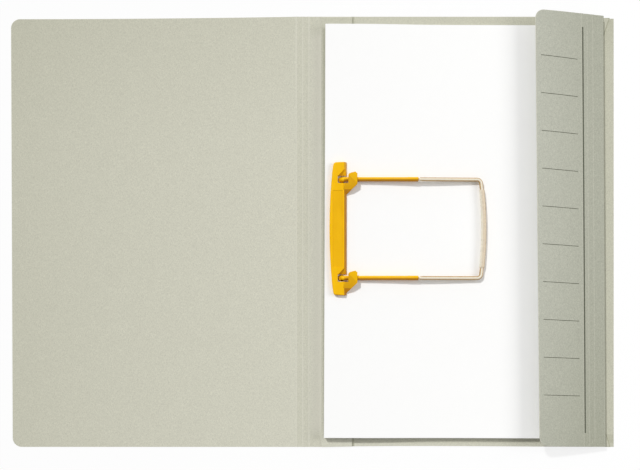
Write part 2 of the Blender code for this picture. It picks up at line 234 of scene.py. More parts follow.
class CardSettings(bpy.types.PropertyGroup):
    """Scored card of the covers and the flap."""

    tone: colour("Card", "Colour of the card", (208, 207, 191))
    # Also the colour of the painted highlight on crests and of the painted light on the spine
    core: colour("Cut edge", "Colour of the card's cut edges and crests", (218, 216, 202))
    ink: colour("Ink", "Colour of the printed rules", (72, 76, 60))
    # Painted shade: the flap's card is darker than the covers' so that its tilt reads as in shade
    flap_shade_tint: triple("Flap tint", "Tone of the flap's card against the covers", (0.784, 0.803, 0.818))
    # Darkening of card that is partly rubbing and mostly painted shade and shadow
    rub_and_shade_factor: triple("Rubbed shade", "Tone of fully rubbed card against clean card", (0.6, 0.605, 0.53))
    grain: number("Grain", "Contrast of the card's specks and fibres", 0.17)
    # Pale crests: partly wear, partly painted highlight
    crest_wear_and_highlight: number("Crest wear", "Pale wear on the crest of a spine crease", 0.8)
    # Painted light: a paler spine beside the stack, lifting the stack's shadow off it; weaker past the
    # stack's ends
    spine_painted_light: number("Spine wear", "Pale wear of the spine beside the stack", 1.2)
    spine_end_painted_light: number("Spine end wear", "Pale wear of the spine past the stack's ends", 0.2)
    # Darkening of the spine past the stack's ends
    spine_end_tone: number("Spine end", "Rubbing of the spine past the stack's ends", 0.18)
    # Painted shade: the front cover darkens towards its free edge and towards its head
    side_shade_tone: number("Cover side", "Rubbing that grows evenly to the front cover's free edge", 0.15)
    edge_shade_tone: number("Cover edge", "Further rubbing close to that edge", 0.1)
    head_start: number("Cover head", "Share of the front cover's height at which its head starts", 0.7)
    head_shade_tone: number("Cover head tone", "Rubbing for each share of height in that head", 0.45)
    # Painted shade: the back cover darkens towards its right edge, more close to it
    margin_shade_tone: number("Back side", "Rubbing that grows evenly to the back cover's right edge", 0.12)
    margin_edge_shade_tone: number("Back edge", "Further rubbing close to that edge", 0.26)
    # The back cover and the mounting strip darken towards their head
    back_head_start: number("Back head", "Share of the back's upper half at which its head starts", 0.8)
    strip_head_tone: number("Strip head tone", "Rubbing for each share of height in the strip's head", 1.6)
    # Painted shadow of the stack along the back cover's foot
    foot_shadow_tone: number("Foot tone", "Rubbing of the band at the back cover's foot", 0.25)
    # Painted shadow in the gap beside the mounting strip
    strip_shadow_tone: number("Strip tone", "Rubbing of the line beside the mounting strip", 0.72)
    # Painted shadow of the stack's left edge on the mounting strip
    stack_shadow_tone: number("Stack tone", "Rubbing of the line beside the stack", 0.5)
    # Painted shade on the gusset and its folds, darkest on the outer side
    gusset_shade_tone: number("Gusset tone", "Rubbing of the gusset's outer side", 0.85)
    gusset_inner_shade_tone: number("Gusset inner tone", "Rubbing of the gusset's inner side", 0.29)
    # Darkening of the facets inside their painted shadow line
    facet_tone: number("Facet tone", "Rubbing of the facets at the gusset's foot", 0.4)
    # Darkening of the flap towards its ends, most at the page's foot
    flap_foot_tone: number("Flap foot tone", "Further rubbing of the flap at the page's foot", 0.24)
    crease: length("Crease", "Half the width of card that bends at a crease", 1.25 * MM)
    ridge: length("Spine ridge", "Height of the ridge along a spine crease", 0.12 * MM)
    score_ridge: length("Flap ridge", "Height of the ridge along a flap score", 0.04 * MM)
    edge_round: length("Edge", "Rounding of the card's cut edges", 0.12 * MM)
    wear_band: length("Wear", "Width of the pale band along a cut edge", 0.2 * MM)
    cover_corner: length("Cover corner", "Radius of the front cover's free corners", 7.5 * MM)
    flap_corner: length("Flap corner", "Radius of the flap's free corners", 7.0 * MM)
    fold_radius: length("Fold", "Radius of the flap's folds at mid thickness", 0.9 * MM)
    flare: length("Facet", "Width of the small facet at each end of the gusset's foot", 5.4 * MM)
    flare_length: length("Facet length", "Length of that facet", 16.5 * MM)
    facet_lip: length("Facet lip", "How far the upper facet stands out past the back cover", 0.5 * MM)
    facet_line: length("Facet line", "Width of the dark line round that facet", 0.6 * MM)
    facet_depth: length("Facet depth", "Thickness of that facet", 0.05 * MM)
    trim: length("Cover trim", "How far the front cover's top edge falls towards its free corner", 2.0 * MM)
    lean: length("Cover lean", "How far the front cover's free edge leans in towards its foot", 1.4 * MM)
    curl: length("Strip curl", "How far the mounting strip's free edge lifts", 0.5 * MM)
    gap: length("Rub", "Width of the dark line beside the stack", 1.0 * MM)
    strip_gap: length("Strip gap", "Width of the dark line beside the mounting strip", 1.65 * MM)
    strip_inset: length("Strip inset", "How far the mounting strip's head stays inside the cover's", 0.7 * MM)
    foot_bow: length("Foot bow", "How far the back cover's lower edge bows in", 0.72 * MM)
    step: length("Corner step", "How far the back cover's corner is cut back beside the flap", 1.6 * MM)
    skew: length("Skew", "How far the flap's free edge sits up the page from its fold", 1.8 * MM)
    shrink: length("Flap cut", "How much each end of the flap is cut back", 0.3 * MM)
    drop: length("Drop", "How far the flap's fold sits down the page", 0.15 * MM)
    bow: length("Flap bow", "How far the flap bulges between its fold and its free edge", 0.8 * MM)
    taper: number("Flap taper", "Share of length lost at the flap's free edge", 0.0035)
    slant: number("Flap slant", "Slope of the flap's fold across the page", 0.005)
    pivot: number("Slant pivot", "Share of the fold's lower half above its pivot", 0.76)
    splay: number("Flap splay", "Slope of the flap's free edge to its fold", 0.005)
    line_width: length("Line", "Width of the long printed line", 1.25 * MM)
    line_gap: length("Line gap", "Distance of that line from its score", 0.4 * MM)
    line_inset: length("Line inset", "Bare length at each end of the long line", 11.0 * MM)
    rule_width: length("Rule", "Width of a short printed rule", 0.5 * MM)
    rule_pitch: length("Rule pitch", "Distance between two short rules", 30.45 * MM)
    rule_start: length("Rule start", "Distance of a rule's first end from the flap's fold", 23.9 * MM)
    rule_end: length("Rule end", "Distance of a rule's far end from the flap's fold", 55.8 * MM)
    rule_top: length("First rule", "Place of the first rule's far end up the page", 139.35 * MM)
    rule_depth: length("Rule depth", "How far a rule stands proud of the flap", 0.02 * MM)
    rule_slope: number("Rule slope", "Rise of the first rule along its length", 0.034)
    rule_turn: number("Rule turn", "Change of that rise from rule to rule", -0.0032)
    rule_count: IntProperty(name="Rules", description="Number of short rules", default=10, min=1)


class SheetSettings(bpy.types.PropertyGroup):
    """Stack of punched sheets."""

    tone: colour("Paper", "Colour of the paper", (253, 253, 252))
    count: IntProperty(name="Sheets", description="Number of sheets in the stack", default=54, min=2)
    stagger: length("Stagger", "Largest shift of a sheet from its place in the stack", 0.18 * MM)
    inset: length("Inset", "How far the stack stays inside its space on the left", 0.35 * MM)
    turn: turning("Turn", "How far the stack is turned round the clip", -0.0035)
    turn_stagger: turning("Turn stagger", "Largest turn of a sheet in the stack", 0.0006)
    slack: length("Slack", "How far the stack's top stays under the top of its space", 0.25 * MM)
    drape_margin: length("Drape margin", "Flat paper past the mounting strip", 1.0 * MM)
    drape_length: length("Drape", "Length over which the sheets come down to the cover", 75.0 * MM)
    hole: length("Hole", "Diameter of a punched hole", 5.7 * MM)
    hole_set: length("Hole set", "How far a hole stands to the right of its tube's hinge", 0.8 * MM)
    seed: IntProperty(name="Seed", description="Start of the random stagger", default=7)


class ClipSettings(bpy.types.PropertyGroup):
    """Two-tube clip with its bar, hooks and bail."""

    yellow: colour("Clip", "Colour of the bar, hooks and tubes", (246, 190, 3))
    # Painted shade: the brown of the clip's right and down-facing sides, tube undersides and elbows
    shade_brown: colour("Clip depth", "Colour of the clip's steep sides", (190, 130, 26))
    ivory: colour("Bail", "Colour of the bail", (236, 228, 209))
    # Painted shade: the tan of the bail's flanks and grip
    tan: colour("Bail depth", "Colour of the bail's flanks", (182, 145, 88))
    bow: length("Bar bow", "How far the bar's left side bulges", 3.0 * MM)
    bar_corner: length("Bar corner", "Radius of the bar's left corners", 2.6 * MM)
    shoulder: length("Bar shoulder", "Rounding of the bar's left edge", 1.2 * MM)
    inset: length("Bar inset", "How far the bar's left side stays inside its space", 0.5 * MM)
    overhang: length("Bar overhang", "How far the bar's right side stands past its space", 0.3 * MM)
    slope: length("Bar slope", "Width of the slope along the bar's right side", 2.0 * MM)
    slope_drop: length("Slope drop", "Height of that slope", 2.6 * MM)
    panel_length: length("Panel length", "Length of the shallow panel in the bar", 62.0 * MM)
    panel_width: length("Panel width", "Width of that panel", 8.0 * MM)
    panel_depth: length("Panel depth", "Depth of that panel", 0.3 * MM)
    panel_inset: length("Panel inset", "Distance of that panel from the bar's right side", 3.2 * MM)
    notch_width: length("Notch", "Width of the notch for a tube", 6.1 * MM)
    notch_floor: length("Notch depth", "Distance of the notch's floor from the tube's centre", 2.25 * MM)
    funnel: length("Funnel", "Length of the slope that leads into a notch", 8.0 * MM)
    hook_root: length("Hook root", "How far a hook grows into the bar past its slope", 0.6 * MM)
    hook_gap: length("Hook gap", "Distance of a hook's finger from its notch", 0.3 * MM)
    hook_inset: length("Hook inset", "How far a hook's finger stays inside its space", 1.3 * MM)
    hook_corner: length("Hook corner", "Width of the cut at a hook's far corner", 1.7 * MM)
    hook_corner_drop: length("Hook corner drop", "Height of that cut", 1.5 * MM)
    hook_step: length("Hook step", "How far a hook's right side runs on below its finger", 0.6 * MM)
    hook_facet: length("Hook facet", "Height of the facet at a hook's foot", 4.2 * MM)
    hook_room: length("Hook room", "Distance of a hook from the tube under it", 0.3 * MM)
    edge_round: length("Edge", "Rounding of the clip's edges", 0.3 * MM)
    tube: length("Tube", "Outer diameter of a tube", 3.5 * MM)
    bore: length("Bore", "Inner diameter of a tube", 2.3 * MM)
    elbow: length("Elbow", "Length of tube that bends at the hole", 3.0 * MM)
    elbow_set: length("Elbow set", "How far the elbow stands to the right of its hinge", 1.0 * MM)
    elbow_lean: length("Elbow lean", "How far the elbow's foot stands towards the clip's middle", 0.8 * MM)
    elbow_lead: length("Elbow lead", "Straight length between the elbow's bend and its tube", 0.2 * MM)
    elbow_inset: length("Elbow inset", "How far the elbow's wall stays inside its tube's", 0.05 * MM)
    collar: length("Collar", "Length of the wider end of a tube", 8.5 * MM)
    collar_step: length("Collar step", "How far that end stands proud", 0.1 * MM)
    rod: length("Rod", "Diameter of the bail's legs", 3.2 * MM)
    pin: length("Pin", "Diameter of the bail's pins", 1.7 * MM)
    pin_length: length("Pin length", "Length of a pin", 40.0 * MM)
    pin_point: length("Pin point", "Length of the slope at a pin's tip", 0.4 * MM)
    pin_root: length("Pin root", "Length of the slope between a pin and its shoulder", 0.2 * MM)
    taper: length("Taper", "Length over which a leg tapers to its pin", 1.6 * MM)
    bail_corner: length("Bail corner", "Radius of the bail's corners", 3.3 * MM)
    bail_bow: length("Bail bow", "How far the bail's crossbar bows out", 2.2 * MM)
    droop: length("Bail droop", "How far the crossbar hangs below the pins", 2.2 * MM)
    grip: length("Grip", "Diameter of the thick middle of the crossbar", 4.3 * MM)
    grip_length: length("Grip length", "Length of that thick middle", 62.0 * MM)


class StageSettings(bpy.types.PropertyGroup):
    """Camera, lights and floor."""

    height: length("Camera height", "Height of the camera above the floor", 0.72)
    view_width: length("View width", "Width of floor that the picture shows", 0.527)
    view_x: length("View X", "Middle of the picture on the floor, along X", 6.27 * MM)
    view_y: length("View Y", "Middle of the picture on the floor, along Y", -2.6 * MM)
    lens_y: length("Lens Y", "Place of the camera along Y", -72.0 * MM)
    floor_size: length("Floor", "Half the width of the floor", 4.0)
    floor_drop: length("Floor drop", "How far the floor lies below the folder", 0.05 * MM)
    floor_tone: number("Floor tone", "Lightness of the floor", 0.96)
    floor_glow: number("Floor glow", "Share of plain white in the floor that the camera sees", 0.78)
    key: strength("Key", "Strength of the key light", 1.82)
    key_rise: turning("Key rise", "Angle of the key light above the floor", math.radians(50))
    key_turn: turning("Key turn", "Angle of the key light from the page's top to its left", math.radians(36))
    key_spread: turning("Key spread", "Width of the key light as an angle", math.radians(5))
    side: strength("Side", "Power of the low light on the right in watts", 14.0)
    side_size: length("Side size", "Width of that light", 0.9)
    side_place: triple("Side place", "Place of that light", (1.78, 0.24, 1.2))
    side_aim: triple("Side aim", "Place that it points at", (0.12, 0.0, 0.0))
    sky: strength("Sky", "Strength of the light from all round", 0.385)


class FolderSettings(bpy.types.PropertyGroup):
    """All settings of the dressing."""

    card: PointerProperty(type=CardSettings)
    sheets: PointerProperty(type=SheetSettings)
    clip: PointerProperty(type=ClipSettings)
    stage: PointerProperty(type=StageSettings)


class Finish:
    """A material that is built up step by step on the piece's own coordinates."""

    def __init__(self, name, roughness, specular):
        self.material = bpy.data.materials.new(name)
        self.material.use_nodes = True
        self.tree = self.material.node_tree
        self.shader = self.tree.nodes["Principled BSDF"]
        self.shader.inputs["Roughness"].default_value = roughness
        self.shader.inputs["Specular IOR Level"].default_value = specular
        self.place = self.add("ShaderNodeTexCoord").outputs["Object"]

    def add(self, kind, **settings):
        node = self.tree.nodes.new(kind)
        for key, value in settings.items():
            setattr(node, key, value)
        return node

    def join(self, source, socket):
        self.tree.links.new(source, socket)

    def grain(self, size, detail=2.0, stretch=(1.0, 1.0, 1.0)):
        """Noise with features of about the given size, drawn out along an axis by stretch."""
        scale = self.add("ShaderNodeMapping")
        scale.inputs["Scale"].default_value = [1.0 / (size * share) for share in stretch]
        self.join(self.place, scale.inputs["Vector"])
        noise = self.add("ShaderNodeTexNoise")
        noise.inputs["Scale"].default_value = 1.0
        noise.inputs["Detail"].default_value = detail
        self.join(scale.outputs["Vector"], noise.inputs["Vector"])
        return noise.outputs["Fac"]

    def spread(self, value, low, high, start=0.3, end=0.7):
        """The value, with start to end taken to low to high."""
        spread = self.add("ShaderNodeMapRange")
        for socket, bound in zip(spread.inputs[1:5], (start, end, low, high)):
            socket.default_value = bound
        self.join(value, spread.inputs[0])
        return spread.outputs[0]

    def times(self, first, second):
        product = self.add("ShaderNodeMath", operation="MULTIPLY")
        self.join(first, product.inputs[0])
        self.join(second, product.inputs[1])
        return product.outputs[0]

    def plus(self, first, second):
        total = self.add("ShaderNodeMath", operation="ADD")
        self.join(first, total.inputs[0])
        self.join(second, total.inputs[1])
        return total.outputs[0]

    def painted(self, name):
        """A number that the piece carries on its points."""
        return self.add("ShaderNodeAttribute", attribute_name=name).outputs["Fac"]

    def tint(self, factor, first, second):
        """A colour between two, each a colour or a socket."""
        mix = self.add("ShaderNodeMix", data_type="RGBA")
        self.join(factor, mix.inputs[0])
        for index, part in ((MIX_FIRST, first), (MIX_SECOND, second)):
            if isinstance(part, bpy.types.NodeSocket):
                self.join(part, mix.inputs[index])
            else:
                mix.inputs[index].default_value = part
        return mix.outputs[MIX_RESULT]

    def dimmed(self, part, shade):
        """A colour socket made darker by a factor for each channel."""
        mix = self.add("ShaderNodeMix", data_type="RGBA", blend_type="MULTIPLY")
        mix.inputs[0].default_value = 1.0
        self.join(part, mix.inputs[MIX_FIRST])
        mix.inputs[MIX_SECOND].default_value = (*shade, 1.0)
        return mix.outputs[MIX_RESULT]

    def relief(self, height, depth, force):
        """Fine bumps of the given depth, felt with a force from 0 to 1."""
        bump = self.add("ShaderNodeBump")
        bump.inputs["Strength"].default_value = force
        bump.inputs["Distance"].default_value = depth
        self.join(height, bump.inputs["Height"])
        self.join(bump.outputs["Normal"], self.shader.inputs["Normal"])

    def base(self, socket):
        self.join(socket, self.shader.inputs["Base Color"])

    def rough(self, socket):
        self.join(socket, self.shader.inputs["Roughness"])


def card_finish(name, settings, tint):
    """Pressed fibre card: specks, short fibres up the page, faint clouds, pale cut edges, crests made pale
    partly by wear and partly as painted highlight, painted light on the spine, and darkening that is partly
    rubbing and mostly painted shade and shadow.
    """
    finish = Finish(name, 0.9, 0.18)
    tone = [channel * share for channel, share in zip(settings.tone, tint)]
    specks = finish.grain(0.72 * MM, 3.0)
    fibres = finish.grain(0.55 * MM, 2.0, (1.0, 4.0, 1.0))
    clouds = finish.grain(14.0 * MM, 3.0)
    grain = finish.plus(finish.spread(specks, 0.0, 0.65), finish.spread(fibres, 0.0, 0.35))
    contrast = settings.grain / tint[0]
    body = finish.tint(grain, shaded(tone, 1 - contrast), shaded(tone, 1 + contrast))
    cloudy = finish.tint(finish.spread(clouds, 0.0, 0.14), body, shaded(tone, 0.9))
    # Darkening, partly from rubbing and mostly painted shade and shadow
    rub_and_painted_shade = finish.tint(finish.painted("rub_and_painted_shade"), cloudy, finish.dimmed(cloudy, settings.rub_and_shade_factor))
    # Pale wear on cut edges, painted highlight on crests, and painted light on the spine
    wear_and_painted_light = finish.times(finish.painted("wear_and_painted_light"), finish.spread(specks, 0.45, 1.0))
    finish.base(finish.tint(wear_and_painted_light, rub_and_painted_shade, shaded(settings.core, 1.0)))
    finish.rough(finish.spread(fibres, 0.84, 0.96))
    finish.relief(grain, 0.04 * MM, 0.6)
    return finish.material


def ink_finish(settings):
    """Thin matt printing ink with the card's grain showing through."""
    finish = Finish("ink", 0.8, 0.2)
    fine = finish.grain(0.4 * MM, 2.0)
    bare = finish.spread(fine, 0.0, 0.3)
    finish.base(finish.tint(bare, shaded(settings.ink, 0.9), shaded(settings.tone, 0.6)))
    finish.relief(fine, 0.02 * MM, 0.4)
    return finish.material


def paper_finish(settings):
    """Smooth white office paper with a faint tooth."""
    finish = Finish("paper", 0.85, 0.2)
    fine = finish.grain(0.3 * MM, 3.0)
    clouds = finish.grain(9.0 * MM, 2.0)
    tooth = finish.plus(finish.spread(fine, 0.0, 0.7), finish.spread(clouds, 0.0, 0.3))
    finish.base(finish.tint(tooth, shaded(settings.tone, 0.985), shaded(settings.tone, 1.0)))
    finish.rough(finish.spread(fine, 0.78, 0.92))
    finish.relief(fine, 0.01 * MM, 0.3)
    return finish.material


def clip_finish(settings):
    """Moulded plastic with a fine spark-eroded skin and faint flow marks, and painted shade, brown, on its
    steep and down-facing sides.
    """
    finish = Finish("clip_plastic", 0.4, 0.12)
    skin = finish.grain(0.12 * MM, 2.0)
    flow = finish.grain(5.0 * MM, 3.0, (1.0, 3.0, 1.0))
    marks = finish.spread(flow, 0.0, 1.0)
    bright = finish.tint(marks, shaded(settings.yellow, 1.0), shaded(settings.yellow, 1.1))
    finish.base(finish.tint(finish.painted("depth"), bright, shaded(settings.shade_brown, 1.0)))
    finish.rough(finish.plus(finish.spread(skin, 0.0, 0.1), finish.spread(flow, 0.28, 0.4)))
    finish.relief(skin, 0.012 * MM, 0.35)
    finish.shader.inputs["Subsurface Weight"].default_value = 0.05
    finish.shader.inputs["Subsurface Radius"].default_value = (1.0, 0.5, 0.1)
    finish.shader.inputs["Subsurface Scale"].default_value = 0.5 * MM
    return finish.material


def bail_finish(settings):
    """Milky plastic with painted shade, tan, on its flanks."""
    finish = Finish("bail_plastic", 0.3, 0.5)
    flow = finish.grain(3.0 * MM, 2.0)
    marks = finish.spread(flow, 0.0, 1.0)
    pale = finish.tint(marks, shaded(settings.ivory, 0.96), shaded(settings.ivory, 1.02))
    finish.base(finish.tint(finish.painted("depth"), pale, shaded(settings.tan, 1.0)))
    finish.rough(finish.spread(flow, 0.24, 0.36))
    finish.relief(finish.grain(0.15 * MM, 2.0), 0.01 * MM, 0.3)
    finish.shader.inputs["Subsurface Weight"].default_value = 0.12
    finish.shader.inputs["Subsurface Radius"].default_value = (1.0, 0.8, 0.5)
    finish.shader.inputs["Subsurface Scale"].default_value = 0.8 * MM
    return finish.material


def finish_named(name):
    """The material of that name, made on its first use."""
    found = bpy.data.materials.get(name)
    if found and found.get("dressing"):
        return found
    settings = bpy.context.scene.flap_folder
    if found:
        found.name = f"packed_{name}"
    makers = {
        "card": lambda: card_finish("card", settings.card, (1.0, 1.0, 1.0)),
        "shaded_flap_card": lambda: card_finish("shaded_flap_card", settings.card, settings.card.flap_shade_tint),
        "ink": lambda: ink_finish(settings.card),
        "paper": lambda: paper_finish(settings.sheets),
        "clip_plastic": lambda: clip_finish(settings.clip),
        "bail_plastic": lambda: bail_finish(settings.clip),
    }
    made = makers[name]()
    made["dressing"] = True
    return made


def piece_from(bm, name, finish, extra=()):
    """A piece with the mesh in bm, its main finish and any further finishes."""
    mesh = bpy.data.meshes.new(name)
    bm.to_mesh(mesh)
    bm.free()
    for item in (finish, *extra):
        mesh.materials.append(finish_named(item))
    mesh.shade_smooth()
    mesh.set_sharp_from_angle(angle=SHARP_ANGLE)
    piece = bpy.data.objects.new(name, mesh)
    bpy.context.scene.collection.objects.link(piece)
    return piece


def bevel(bm, edges, width, steps):
    bmesh.ops.bevel(bm, geom=edges, offset=width, segments=steps, profile=0.5, affect="EDGES", material=-1)


def block(low, high):
    """A box between two corners."""
    bm = bmesh.new()
    size = [top - bottom for bottom, top in zip(low, high)]
    middle = [(top + bottom) / 2 for bottom, top in zip(low, high)]
    bmesh.ops.create_cube(bm, size=1.0, matrix=Matrix.LocRotScale(middle, None, size))
    return bm


def prism(section, start, end):
    """A solid along Y with a closed section of points in X and Z."""
    bm = bmesh.new()
    bm.faces.new([bm.verts.new((x, start, z)) for x, z in section])
    pull(bm, (0.0, end - start, 0.0))
    return bm


def plate(outline, bottom, top):
    """A solid between two levels with a closed outline of points in X and Y."""
    bm = bmesh.new()
    bm.faces.new([bm.verts.new((x, y, bottom)) for x, y in outline])
    pull(bm, (0.0, 0.0, top - bottom))
    return bm


def picked(geometry, kind):
    """The points, edges or faces among the geometry."""
    return [item for item in geometry if isinstance(item, kind)]


def pull(bm, way):
    """Pulls all the faces along way into a closed solid."""
    pulled = bmesh.ops.extrude_face_region(bm, geom=bm.faces[:])["geom"]
    bmesh.ops.translate(bm, verts=picked(pulled, bmesh.types.BMVert), vec=way)
    bmesh.ops.recalc_face_normals(bm, faces=bm.faces)


def slice_at(bm, axis, places):
    """Cuts the mesh across an axis at each place."""
    normal = [float(axis == index) for index in range(3)]
    for place in places:
        point = [place * share for share in normal]
        bmesh.ops.bisect_plane(
            bm, geom=bm.verts[:] + bm.edges[:] + bm.faces[:], dist=TOUCH, plane_co=point, plane_no=normal
        )


def slice_evenly(bm, axis, start, end, steps):
    """Cuts the mesh across an axis into even steps between two places."""
    slice_at(bm, axis, [start + (end - start) * step / steps for step in range(1, steps)])


def arc(centre, radius, start, end, steps):
    """Points on an arc, with angles in degrees."""
    points = []
    for step in range(steps + 1):
        angle = math.radians(start + (end - start) * step / steps)
        points.append((centre[0] + radius * math.cos(angle), centre[1] + radius * math.sin(angle)))
    return points


def combine(piece, bm, operation):
    """Adds or takes away the solid in bm, and keeps the result as the piece's mesh."""
    mesh = bpy.data.meshes.new("tool")
    bm.to_mesh(mesh)
    bm.free()
    tool = bpy.data.objects.new("tool", mesh)
    bpy.context.scene.collection.objects.link(tool)
    modifier = piece.modifiers.new("tool", "BOOLEAN")
    modifier.operation = operation
    modifier.object = tool
    graph = bpy.context.evaluated_depsgraph_get()
    made = bpy.data.meshes.new_from_object(piece.evaluated_get(graph))
    piece.modifiers.clear()
    made.name = piece.data.name
    piece.data = made
    bpy.data.objects.remove(tool, do_unlink=True)


def round_edges(piece, width):
    """Fine rounding of a moulded piece's edges."""
    piece.data.shade_smooth()
    piece.data.set_sharp_from_angle(angle=SHARP_ANGLE)
    modifier = piece.modifiers.new("rounded", "BEVEL")
    modifier.width = width
    modifier.segments = EDGE_STEPS
    modifier.limit_method = "ANGLE"
    modifier.angle_limit = SHARP_ANGLE
    modifier.harden_normals = True


def paint_shade(piece, depth):
    """Paints shade on each face of a piece, as much as a function finds for it, from 0 to 1."""
    layer = piece.data.attributes.new("depth", "FLOAT", "FACE")
    for face, value in zip(piece.data.polygons, layer.data):
        value.value = clamped(depth(face))


def card_panel(settings, low, high, seams, corner=0.0, rub_and_painted_shade=0.0):
    """A panel of card. Seams are the sides along X, low or high, that run on into a crease."""
    bm = block(low, high)
    joined = [low[0] if side == "low" else high[0] for side in seams]
    if corner:
        upright = [
            edge
            for edge in bm.edges
            if abs(edge.verts[0].co.z - edge.verts[1].co.z) > TOUCH
            and all(abs(edge.verts[0].co.x - place) > TOUCH for place in joined)
        ]
        bevel(bm, upright, corner, CORNER_STEPS)
    rim = [
        edge
        for edge in bm.edges
        if abs(edge.verts[0].co.z - edge.verts[1].co.z) < TOUCH
        and not any(all(abs(v.co.x - place) < TOUCH for v in edge.verts) for place in joined)
    ]
    bevel(bm, rim, settings.edge_round, EDGE_STEPS)
    wear_and_painted_light = bm.verts.layers.float.new("wear_and_painted_light")
    rub_and_shade_layer = bm.verts.layers.float.new("rub_and_painted_shade")
    for vertex in bm.verts:
        vertex[wear_and_painted_light] = 1.0
        vertex[rub_and_shade_layer] = rub_and_painted_shade
    faces = [face for face in bm.faces if abs(face.normal.z) > LEVEL]
    bmesh.ops.inset_region(
        bm, faces=faces, thickness=settings.wear_band, use_boundary=True, use_even_offset=True
    )
    for face in faces:
        for vertex in face.verts:
            vertex[wear_and_painted_light] = 0.0
    for vertex in bm.verts:
        inside = abs(vertex.co.y) < high[1] - settings.wear_band / 2
        if inside and any(abs(vertex.co.x - place) < TOUCH for place in joined):
            vertex[wear_and_painted_light] = 0.0
    return bm


def crease_strip(settings, middle, start, end, bottom, thickness, ridge, rub_and_painted_shade):
    """A scored strip along Y, with a crest made pale partly by wear and partly as painted highlight. The last
    argument gives the darkening on its low and high side, partly painted shade.
    """
    half = settings.crease
    bm = prism(ridge_section(half, thickness, ridge, middle, bottom), start, end)
    wear_and_painted_light = bm.verts.layers.float.new("wear_and_painted_light")
    rub_and_shade_layer = bm.verts.layers.float.new("rub_and_painted_shade")
    for vertex in bm.verts:
        crest = (vertex.co.z - bottom - thickness) / ridge
        # Pale crest, partly wear and partly painted highlight
        vertex[wear_and_painted_light] = settings.crest_wear_and_highlight * clamped(crest) ** 2 * ridge / settings.ridge
        vertex[rub_and_shade_layer] = rub_and_painted_shade[0] if vertex.co.x < middle else rub_and_painted_shade[1]
    return bm


def ridge_section(half, thickness, ridge, middle=0.0, bottom=0.0):
    """Section of a scored crease: a ridge on the inside and a shallower groove behind it."""
    top = []
    under = []
    for step in range(CREASE_STEPS + 1):
        share = 2 * step / CREASE_STEPS - 1
        swell = ridge * math.cos(min(abs(share) / RIDGE_SHARE, 1.0) * math.pi / 2) ** 2
        top.append((middle + half * share, bottom + thickness + swell))
        under.append((middle + half * share, bottom + GROOVE_SHARE * swell))
    return under + top[::-1]


def fold_section(first, corner, last, radius, thickness):
    """Section of a rounded fold from one point round a corner to another, at even thickness."""
    inward = (first - corner).normalized()
    outward = (last - corner).normalized()
    half = inward.angle(outward) / 2
    back = radius / math.tan(half)
    centre = corner + (inward + outward).normalized() * (radius / math.sin(half))
    start = corner + inward * back - centre
    turn = (math.pi - 2 * half) / FOLD_STEPS
    if start.cross(corner + outward * back - centre) < 0:
        turn = -turn
    line = [first]
    for step in range(FOLD_STEPS + 1):
        line.append(centre + start @ Matrix.Rotation(-turn * step, 2))
    line.append(last)
    near = []
    far = []
    for index, point in enumerate(line):
        before = line[max(index - 1, 0)]
        after = line[min(index + 1, len(line) - 1)]
        along = (after - before).normalized()
        side = Vector((-along.y, along.x)) * thickness / 2
        near.append(tuple(point + side))
        far.append(tuple(point - side))
    return near + far[::-1]


